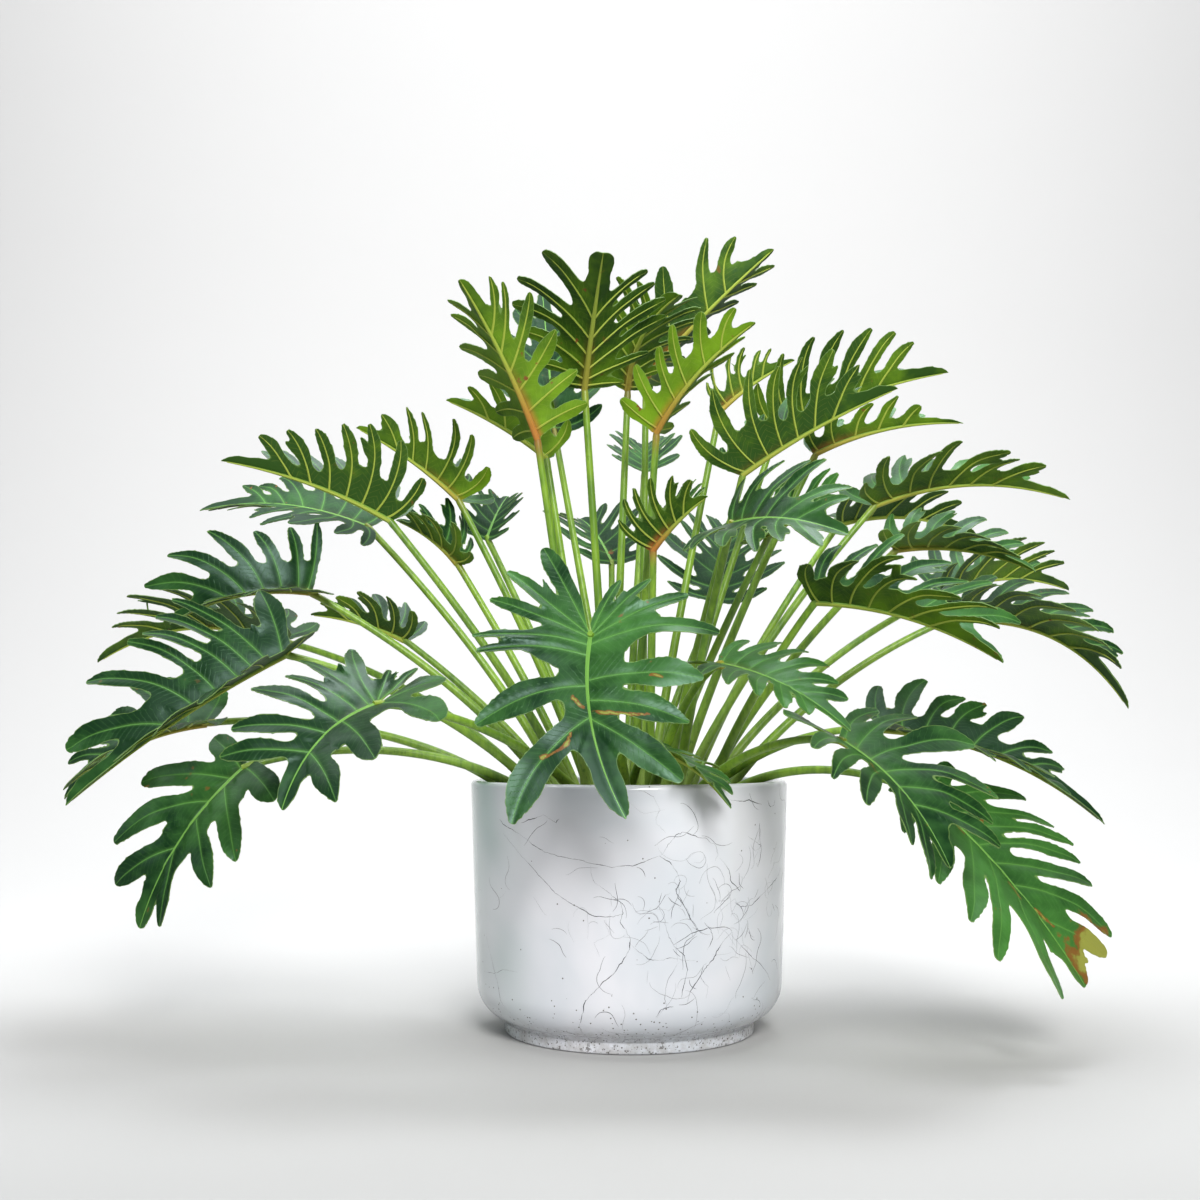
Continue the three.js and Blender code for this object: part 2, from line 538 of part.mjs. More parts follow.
// The lobes of one half blade in the flat, the notches between them and the room beside each.
function halfOutline(leaf, number, side) {
  const length = vec(leaf.joint).distanceTo(vec(leaf.tip));
  const plan = lobePlan(leaf, number, side);
  const tipFrom = leaf.tipFrom || tipAttach;
  const tipMiddle = (t) => [length * (tipFrom + (1 - tipFrom) * t), 0];
  const middles = plan.map((lobe) => (t) => lobeMiddle(lobe, length, t));
  middles.push(tipMiddle);
  const notches = plan.map((lobe, i) => {
    const t = Math.min(lobe.notch, notchLimit);
    return between(middles[i](t), middles[i + 1](t));
  });
  const steps = plan.map((_, i) => (
    Math.min(apart(middles[i], middles[i + 1]), apart(middles[i + 1], middles[i]))
  ));
  return { length, plan, middles, notches, steps };
}

// From the flat to the leaf's place in space.
function bladeFrame(leaf) {
  const joint = vec(leaf.joint);
  const tip = vec(leaf.tip);
  const chord = tip.clone().sub(joint);
  const length = chord.length();
  const faces = vec(leaf.faces);
  const upright = faces.clone().addScaledVector(chord, -faces.dot(chord) / length ** 2).normalize();
  const top = joint.clone().add(tip).multiplyScalar(0.5).addScaledVector(upright, 2 * leaf.rise);
  const midrib = new THREE.QuadraticBezierCurve3(joint, top, tip);
  const fold = rad(leaf.fold);
  const turn = rad(leaf.turn || 0.01) / leaf.half;
  return (along, out, side, lift) => {
    const part = THREE.MathUtils.clamp(along / length, 0, 1);
    const direction = midrib.getTangent(part);
    const point = midrib.getPoint(part).addScaledVector(direction, along - part * length);
    const normal = faces.clone().addScaledVector(direction, -faces.dot(direction)).normalize();
    const rightward = new THREE.Vector3().crossVectors(direction, normal);
    point.addScaledVector(rightward, 4 * (leaf.sway || 0) * part * (1 - part));
    const sideways = rightward.multiplyScalar(side);
    const across = (Math.sin(fold + turn * out) - Math.sin(fold)) / turn;
    const above = (Math.cos(fold) - Math.cos(fold + turn * out)) / turn + lift;
    return point.addScaledVector(sideways, across).addScaledVector(normal, above);
  };
}

// The midrib's points: one between each two side lobes of either half, and its ends.
function midribStops(leaf, halves) {
  const tipFrom = leaf.tipFrom || tipAttach;
  const stopsOf = (half) => half.plan.map((lobe, i) => {
    const next = i + 1 < half.plan.length ? half.plan[i + 1].attach : tipFrom;
    return (half.length * (lobe.attach + next)) / 2;
  });
  const last = (halves[0].length * (tipFrom + Math.max(tipFrom, tipAttach))) / 2;
  const ends = halves.map(stopsOf);
  const all = [...new Set([0, ...ends[0], ...ends[1], last])].sort((a, b) => a - b);
  return { all, ends };
}

function makeBlade(leaf, number) {
  const place = bladeFrame(leaf);
  const points = [];
  const triangles = [];
  const add = (flat, side, lift = 0) => points.push(place(flat[0], flat[1], side, lift)) - 1;
  const halves = [halfOutline(leaf, number, 1), halfOutline(leaf, number, -1)];
  const length = halves[0].length;
  const stops = midribStops(leaf, halves);
  const midrib = stops.all.map((along) => add([along, 0], 1));
  const tipPoint = add([length, 0], 1);
  halves.forEach((half, which) => {
    const side = which === 0 ? 1 : -1;
    const face = (a, b, c) => triangles.push(side > 0 ? [a, b, c] : [a, c, b]);
    const notches = half.notches.map((flat) => add(flat, side));
    let start = 0;
    half.plan.forEach((lobe, i) => {
      const end = stops.all.indexOf(stops.ends[which][i]);
      const step = Math.min(half.steps[Math.max(0, i - 1)], half.steps[i]);
      const width = Math.min(lobeWidest, (lobeFill - lobeFillLost * leaf.fold) * step);
      const row = (t, part) => {
        const middle = half.middles[i](t);
        const ahead = half.middles[i](t + 0.02);
        const size = distance(ahead, middle);
        const normal = [-(ahead[1] - middle[1]) / size, (ahead[0] - middle[0]) / size];
        const lift = Math.tan(rad(lobe.lift)) * lobe.length * Math.max(0, t - 0.4);
        return [-1, 1].map((hand) => add([
          middle[0] - hand * normal[0] * width * part,
          Math.max(1, middle[1] - hand * normal[1] * width * part),
        ], side, lift));
      };
      let hind = i > 0 ? notches[i - 1] : row(0.34, 0.9)[0];
      let fore = notches[i];
      face(midrib[start], hind, fore);
      for (let k = start; k < end; k += 1) face(midrib[k], fore, midrib[k + 1]);
      start = end;
      for (const [nextHind, nextFore] of [row(lobeWide, 1), row(1, lobeBlunt)]) {
        face(hind, nextHind, nextFore);
        face(hind, nextFore, fore);
        hind = nextHind;
        fore = nextFore;
      }
    });
    const shoulder = add([length * tipShoulder, leaf.tipHalf || leaf.half * tipWidth], side);
    const notch = notches[notches.length - 1];
    for (let k = start; k < midrib.length - 1; k += 1) face(midrib[k], notch, midrib[k + 1]);
    face(midrib[midrib.length - 1], notch, shoulder);
    face(midrib[midrib.length - 1], shoulder, tipPoint);
  });
  return thicken(points, triangles, bladeThickness);
}

// A sheet of triangles made into a thin closed body, split alike on both faces.
function thicken(sheet, triangles, thickness) {
  const normals = sheet.map(() => new THREE.Vector3());
  const edges = new Map();
  for (const [a, b, c] of triangles) {
    const one = sheet[b].clone().sub(sheet[a]);
    const normal = one.cross(sheet[c].clone().sub(sheet[a]));
    for (const i of [a, b, c]) normals[i].add(normal);
    for (const [i, j] of [[a, b], [b, c], [c, a]]) edges.set(`${i} ${j}`, [i, j]);
  }
  const count = sheet.length;
  const shifted = (amount) => sheet.map((point, i) => (
    point.clone().addScaledVector(normals[i].clone().normalize(), amount).toArray()
  ));
  const points = [...shifted(thickness / 2), ...shifted(-thickness / 2)];
  const all = [];
  for (const [a, b, c] of triangles) all.push([a, b, c], [a + count, c + count, b + count]);
  for (const [i, j] of edges.values()) {
    if (!edges.has(`${j} ${i}`)) all.push([i, i + count, j + count], [i, j + count, j]);
  }
  return solidFrom(points, all);
}

const plant = new THREE.Group();
plant.add(meshFromSolid("pot", makePot(), glaze));
const stemHole = turned(stemProfile(gap), 8);
const holes = leaves.map((leaf) => stalkHole(leaf));
plant.add(meshFromSolid("soil", makeSoil([stemHole, ...holes]), soilFinish));
plant.add(meshFromSolid("crown_stem", turned(stemProfile(0), 8), bark));
leaves.forEach((leaf, number) => {
  plant.add(meshFromSolid(leaf.name, makeBlade(leaf, number).add(makeStalk(leaf)), leafGreen));
});

export default plant;
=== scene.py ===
import math

import bpy
import numpy as np
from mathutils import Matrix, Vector


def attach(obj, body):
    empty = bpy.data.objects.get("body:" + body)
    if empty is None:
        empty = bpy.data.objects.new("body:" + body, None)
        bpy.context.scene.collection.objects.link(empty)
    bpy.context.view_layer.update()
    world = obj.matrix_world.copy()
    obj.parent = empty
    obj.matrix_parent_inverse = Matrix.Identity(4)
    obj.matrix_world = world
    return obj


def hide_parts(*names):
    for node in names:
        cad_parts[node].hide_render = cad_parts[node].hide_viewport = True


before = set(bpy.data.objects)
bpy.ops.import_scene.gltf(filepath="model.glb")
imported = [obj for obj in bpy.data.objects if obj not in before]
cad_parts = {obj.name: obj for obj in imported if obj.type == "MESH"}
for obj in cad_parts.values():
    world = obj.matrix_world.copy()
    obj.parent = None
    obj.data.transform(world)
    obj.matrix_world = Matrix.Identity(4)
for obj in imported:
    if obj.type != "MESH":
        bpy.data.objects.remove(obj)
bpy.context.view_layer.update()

mm = 0.001
print("frame loaded:", len(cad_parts), "nodes")


# helpers for shapes: everything is in millimetres until addMesh

def unlike(a, b):  # small differences from lobe to lobe and leaf to leaf, -1 to 1
    return np.sin(2.1 * a + 7.3 * b + 1.7 * a * b)


def smooth(low, high, value):
    part = np.clip((value - low) / (high - low), 0, 1)
    return part * part * (3 - 2 * part)


def unit(vectors):
    return vectors / np.maximum(np.linalg.norm(vectors, axis=-1, keepdims=True), 1e-9)


def addMesh(name, points, triangles, materials, slots=None, sharp=50, values=None, corners=None):
    count = len(triangles)
    mesh = bpy.data.meshes.new(name)
    mesh.vertices.add(len(points))
    mesh.vertices.foreach_set("co", (np.asarray(points, float) * mm).ravel())
    mesh.loops.add(3 * count)
    mesh.loops.foreach_set("vertex_index", np.asarray(triangles, np.int32).ravel())
    mesh.polygons.add(count)
    mesh.polygons.foreach_set("loop_start", np.arange(0, 3 * count, 3, dtype=np.int32))
    mesh.polygons.foreach_set("use_smooth", np.ones(count, bool))
    if slots is not None:
        mesh.polygons.foreach_set("material_index", np.asarray(slots, np.int32))
    mesh.update(calc_edges=True)
    for domain, group in (("POINT", values), ("CORNER", corners)):
        for key, data in (group or {}).items():
            attribute = mesh.attributes.new(key, "FLOAT", domain)
            attribute.data.foreach_set("value", np.asarray(data, np.float32).ravel())
    for material in materials:
        mesh.materials.append(material)
    mesh.set_sharp_from_angle(angle=math.radians(sharp))
    piece = bpy.data.objects.new(name, mesh)
    bpy.context.scene.collection.objects.link(piece)
    return piece


def seat(piece, node):  # the piece stands for its CAD node
    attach(piece, "root")
    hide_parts(node)
    return piece


def turnOver(triangles):
    return triangles[:, [0, 2, 1]]


def band(low, high, sides):  # the triangles between two rings of points, given by their first points
    k = np.arange(sides)
    following = (k + 1) % sides
    return [np.stack([low + k, low + following, high + following], 1),
            np.stack([low + k, high + following, high + k], 1)]


def fan(ring, centre, sides):  # the triangles between a ring and its middle point
    k = np.arange(sides)
    return np.stack([ring + k, ring + (k + 1) % sides, np.full(sides, centre)], 1)


def merged(bodies):  # several bodies as one list of points and one of triangles
    starts = np.cumsum([0] + [len(body[0]) for body in bodies])
    return (np.vstack([body[0] for body in bodies]),
            np.vstack([body[1] + start for body, start in zip(bodies, starts)]))


def tubeRings(centres, radii, upward, sides):  # a closed tube, and each point's number along the centres
    along = unit(np.gradient(centres, axis=0))
    side = unit(np.cross(along, upward))
    up = np.cross(side, along)
    angles = np.arange(sides) * 2 * math.pi / sides
    ring = side[:, None] * np.cos(angles)[:, None] + up[:, None] * np.sin(angles)[:, None]
    points = (centres[:, None] + ring * np.asarray(radii)[:, None, None]).reshape(-1, 3)
    points = np.vstack([points, centres[:1], centres[-1:]])
    rows = len(centres)
    last = (rows - 1) * sides
    triangles = [turnOver(part) for i in range(rows - 1)
                 for part in reversed(band(i * sides, (i + 1) * sides, sides))]
    triangles += [fan(0, rows * sides, sides), turnOver(fan(last, rows * sides + 1, sides))]
    return points, np.vstack(triangles), np.append(np.repeat(np.arange(rows), sides), [0, rows - 1])


# helpers for materials

def newMaterial(name):
    material = bpy.data.materials.new(name)
    material.use_nodes = True
    tree = material.node_tree
    shader = tree.nodes["Principled BSDF"]
    return material, tree, shader


def plug(tree, socket, value):
    if isinstance(value, bpy.types.NodeSocket):
        tree.links.new(value, socket)
    elif isinstance(value, (tuple, list)) and len(value) == 3 and socket.type == "RGBA":
        socket.default_value = (*value, 1)
    else:
        socket.default_value = value


def sums(tree, kind, *values, limit=False):  # kind is the name of a Math operation
    node = tree.nodes.new("ShaderNodeMath")
    node.operation = kind
    node.use_clamp = limit
    for socket, value in zip(node.inputs, values):
        plug(tree, socket, value)
    return node.outputs[0]


def times(tree, *values):
    return sums(tree, "MULTIPLY", *values)


def ease(tree, value, low, high, start=0.0, end=1.0):  # from start to end while the value goes low to high
    node = tree.nodes.new("ShaderNodeMapRange")
    node.interpolation_type = "SMOOTHSTEP"
    for socket, given in zip(node.inputs, (value, low, high, start, end)):
        plug(tree, socket, given)
    return node.outputs[0]


def blend(tree, part, one, other):
    node = tree.nodes.new("ShaderNodeMix")
    node.data_type = "RGBA"
    plug(tree, node.inputs[0], part)
    plug(tree, node.inputs[6], one)
    plug(tree, node.inputs[7], other)
    return node.outputs[2]


def layOver(tree, colour, mask, share, over):  # a second colour over the first, where the mask is
    return blend(tree, times(tree, mask, share), colour, over)


def layer(tree, name):  # a value that the mesh carries
    node = tree.nodes.new("ShaderNodeAttribute")
    node.attribute_name = name
    return node.outputs["Fac"]


def place(tree, scale=(1, 1, 1)):
    coordinates = tree.nodes.new("ShaderNodeTexCoord")
    mapping = tree.nodes.new("ShaderNodeMapping")
    mapping.inputs["Scale"].default_value = scale
    tree.links.new(coordinates.outputs["Object"], mapping.inputs["Vector"])
    return mapping.outputs[0]


def cloud(tree, where, scale, detail=3.0, rough=0.5, warp=0.0):
    node = tree.nodes.new("ShaderNodeTexNoise")
    plug(tree, node.inputs["Vector"], where)
    node.inputs["Scale"].default_value = scale
    node.inputs["Detail"].default_value = detail
    node.inputs["Roughness"].default_value = rough
    node.inputs["Distortion"].default_value = warp
    return node.outputs["Fac"]


def relief(tree, shader, height, strength, depth):
    node = tree.nodes.new("ShaderNodeBump")
    node.inputs["Strength"].default_value = strength
    node.inputs["Distance"].default_value = depth
    tree.links.new(height, node.inputs["Height"])
    tree.links.new(node.outputs[0], shader.inputs["Normal"])


# leaf finish: upper face, under face, veins, thin pale margin, red base, worn and dry places
# what ends in Share is how strongly a colour covers, and what ends in Wide is in millimetres

leafFinish = {
    "upperDark": (0.004, 0.026, 0.005), "upperLight": (0.052, 0.180, 0.030),
    # the under face's light colour on the next line is its own yellow-green brightened with painted light
    # shining through the blade
    "underDark": (0.020, 0.060, 0.001), "underLightAndPaintedGlow": (0.170, 0.320, 0.006),
    "patchScale": 9, "grainScale": 60, "patchGain": 2.2, "patchShift": -0.80, "tintGain": 0.45,
    "upperVein": (0.095, 0.260, 0.045), "upperRib": (0.150, 0.340, 0.060),
    "underVein": (0.360, 0.440, 0.060), "veinWide": 0.75, "veinTaper": -0.55, "veinShare": 0.70,
    "ribWide": 1.75, "ribTaper": -1.3, "ribShare": 0.90, "underVeinShare": 0.9,
    "glowReach": 4.5, "glowShare": 0.25,
    "sideVeinGap": 5.2, "sideVeinSlant": -0.75, "sideVeinWobble": 1.6, "sideVeinLine": 0.06,
    "sideVeinUpperShare": 0.22, "sideVeinUnderShare": 0.20,
    "margin": (0.190, 0.310, 0.080), "marginWide": 0.50, "marginShare": 0.60,
    "blush": (0.480, 0.120, 0.030), "blushWide": 9.0, "blushReach": 0.55, "blushShare": 0.8,
    "blushAbove": 0.15, "brown": (0.190, 0.062, 0.014), "fleckScale": 95, "rimShare": 0.85,
    "dry": (0.240, 0.250, 0.045), "raggedness": 1.2,
    "through": (0.220, 0.420, 0.010), "throughShare": 0.07,
    "upperRough": 0.36, "underRough": 0.66, "dullRough": 0.60, "roughGrain": 0.20,
    "gloss": 0.34, "glossTint": (0.58, 0.86, 0.76), "relief": 0.55, "reliefDepth": 0.0008,
}


def makeLeafMaterial():
    v = leafFinish
    material, tree, shader = newMaterial("leafBlade")
    here = place(tree)
    upper = layer(tree, "upper")
    tint = layer(tree, "tint")
    veinAcross = sums(tree, "ABSOLUTE", layer(tree, "veinAcross"))
    ribAcross = sums(tree, "ABSOLUTE", layer(tree, "ribAcross"))
    ribPart = layer(tree, "ribPart")
    broad = cloud(tree, here, v["patchScale"], 2)
    fine = cloud(tree, here, v["grainScale"], 4, 0.6)
    grain = sums(tree, "SUBTRACT", fine, 0.5)

    # light and dark patches; the under face's light end is its own yellow-green brightened with painted
    # light shining through the blade
    mottle = sums(tree, "ADD", sums(tree, "MULTIPLY_ADD", broad, v["patchGain"], v["patchShift"]),
                  times(tree, tint, v["tintGain"]))
    mottle = sums(tree, "ADD", grain, mottle, limit=True)
    upperColour = blend(tree, mottle, v["upperDark"], v["upperLight"])
    underColour = blend(tree, mottle, v["underDark"], v["underLightAndPaintedGlow"])

    # side veins off each lobe's own vein, thin and faint
    slant = sums(tree, "MULTIPLY_ADD", veinAcross, v["sideVeinSlant"], layer(tree, "veinRun"))
    wobble = sums(tree, "MULTIPLY_ADD", fine, v["sideVeinWobble"], slant)
    comb = sums(tree, "FRACT", sums(tree, "DIVIDE", wobble, v["sideVeinGap"]))
    fromLine = sums(tree, "ABSOLUTE", sums(tree, "SUBTRACT", comb, 0.5))
    sideVein = ease(tree, fromLine, v["sideVeinLine"], 0.0)
    upperColour = layOver(tree, upperColour, sideVein, v["sideVeinUpperShare"], v["upperVein"])
    underColour = layOver(tree, underColour, sideVein, v["sideVeinUnderShare"], v["underVein"])

    # the lobes' veins and the midrib taper to their tips, with a paler glow beside the veins
    veinWide = sums(tree, "MULTIPLY_ADD", layer(tree, "veinPart"), v["veinTaper"], v["veinWide"])
    fromVein = sums(tree, "DIVIDE", veinAcross, veinWide)
    vein = ease(tree, fromVein, 1.15, 0.55)
    ribWide = sums(tree, "MULTIPLY_ADD", ribPart, v["ribTaper"], v["ribWide"])
    rib = ease(tree, sums(tree, "DIVIDE", ribAcross, ribWide), 1.15, 0.6)
    lines = sums(tree, "MAXIMUM", vein, rib)
    glow = ease(tree, fromVein, v["glowReach"], 1.0)
    upperColour = layOver(tree, upperColour, glow, v["glowShare"], v["upperVein"])
    upperColour = layOver(tree, upperColour, vein, v["veinShare"], v["upperVein"])
    upperColour = layOver(tree, upperColour, rib, v["ribShare"], v["upperRib"])
    underColour = layOver(tree, underColour, lines, v["underVeinShare"], v["underVein"])
    colour = blend(tree, upper, underColour, upperColour)

    edge = ease(tree, layer(tree, "fromEdge"), v["marginWide"], 0.10)
    colour = layOver(tree, colour, edge, v["marginShare"], v["margin"])
    nearRib = ease(tree, ribAcross, v["blushWide"], 0.5)
    nearBase = times(tree, layer(tree, "blush"), ease(tree, ribPart, v["blushReach"], 0.0))
    red = times(tree, nearBase, nearRib)
    red = times(tree, red, ease(tree, upper, 1.0, 0.0, v["blushAbove"], 1.0))
    colour = layOver(tree, colour, red, v["blushShare"], v["blush"])

    # small brown flecks, and the dry places and tears that single leaves have
    flecks = times(tree, ease(tree, cloud(tree, here, v["fleckScale"], 2), 0.69, 0.75),
                   ease(tree, broad, 0.45, 0.60))
    colour = blend(tree, flecks, colour, v["brown"])
    ragged = sums(tree, "MULTIPLY_ADD", fine, v["raggedness"], -v["raggedness"] / 2)
    ragged = sums(tree, "ADD", layer(tree, "dry"), ragged)
    colour = blend(tree, ease(tree, ragged, 0.30, 0.60), colour, v["dry"])
    rim = times(tree, ease(tree, ragged, 0.24, 0.36), ease(tree, ragged, 0.58, 0.42))
    colour = layOver(tree, colour, rim, v["rimShare"], v["brown"])
    tree.links.new(colour, shader.inputs["Base Color"])

    waxy = ease(tree, tint, -1.0, -0.6, v["dullRough"], v["upperRough"])  # leaves with the darkest tints are duller
    rough = ease(tree, upper, 0.0, 1.0, v["underRough"], waxy)
    rough = sums(tree, "MULTIPLY_ADD", grain, v["roughGrain"], rough)
    tree.links.new(rough, shader.inputs["Roughness"])
    shader.inputs["Specular IOR Level"].default_value = v["gloss"]
    shader.inputs["Specular Tint"].default_value = (*v["glossTint"], 1)

    # veins are sunk a little in the upper face and stand up under the blade
    height = times(tree, lines, sums(tree, "MULTIPLY_ADD", upper, -1.4, 0.9))
    height = sums(tree, "ADD", height, times(tree, sideVein, -0.12))
    height = sums(tree, "ADD", height, times(tree, fine, 0.5))
    relief(tree, shader, height, v["relief"], v["reliefDepth"])

    through = tree.nodes.new("ShaderNodeBsdfTranslucent")  # some light comes through the blade
    through.inputs["Color"].default_value = (*v["through"], 1)
    both = tree.nodes.new("ShaderNodeMixShader")
    both.inputs[0].default_value = v["throughShare"]
    tree.links.new(shader.outputs[0], both.inputs[1])
    tree.links.new(through.outputs[0], both.inputs[2])
    tree.links.new(both.outputs[0], tree.nodes["Material Output"].inputs["Surface"])
    return material


stalkFinish = {
    "light": (0.220, 0.380, 0.028), "dark": (0.070, 0.170, 0.014), "pale": (0.320, 0.450, 0.100),
    "blush": (0.330, 0.100, 0.030), "blushShare": 0.8, "fleckShare": 0.5, "rough": 0.40,
    "streakScale": 260, "streakStretch": 0.12, "patchScale": 14, "fleckScale": 420, "fleckStretch": 0.45,
    "relief": 0.35, "reliefDepth": 0.0006,
}


def makeStalkMaterial():
    v = stalkFinish
    material, tree, shader = newMaterial("leafStalk")
    part = layer(tree, "stalkPart")
    streaks = cloud(tree, place(tree, (1, 1, v["streakStretch"])), v["streakScale"], 2)
    broad = cloud(tree, place(tree), v["patchScale"], 3)
    shade = sums(tree, "MULTIPLY_ADD", streaks, 0.5, times(tree, broad, 0.6))
    colour = blend(tree, ease(tree, shade, 0.35, 0.80), v["light"], v["dark"])
    colour = blend(tree, ease(tree, part, 0.30, 0.02), colour, v["pale"])  # paler towards the crown
    flecks = cloud(tree, place(tree, (1, 1, v["fleckStretch"])), v["fleckScale"], 1)
    flecks = ease(tree, flecks, 0.64, 0.70)
    colour = layOver(tree, colour, flecks, v["fleckShare"], v["dark"])
    red = times(tree, layer(tree, "blush"), ease(tree, part, 0.90, 1.0))
    colour = layOver(tree, colour, red, v["blushShare"], v["blush"])
    tree.links.new(colour, shader.inputs["Base Color"])
    shader.inputs["Roughness"].default_value = v["rough"]
    relief(tree, shader, sums(tree, "ADD", streaks, times(tree, flecks, 0.3)), v["relief"], v["reliefDepth"])
    return material


leafMaterials = [makeLeafMaterial(), makeStalkMaterial()]
print("leaf finish made")


# the leaves: name, place on the crown, joint, tip, way that the upper face looks, midrib's rise, fold,
# turn, half width, lobes on each side, hindmost lobe's angle, foremost lobe's length, stalk's bow

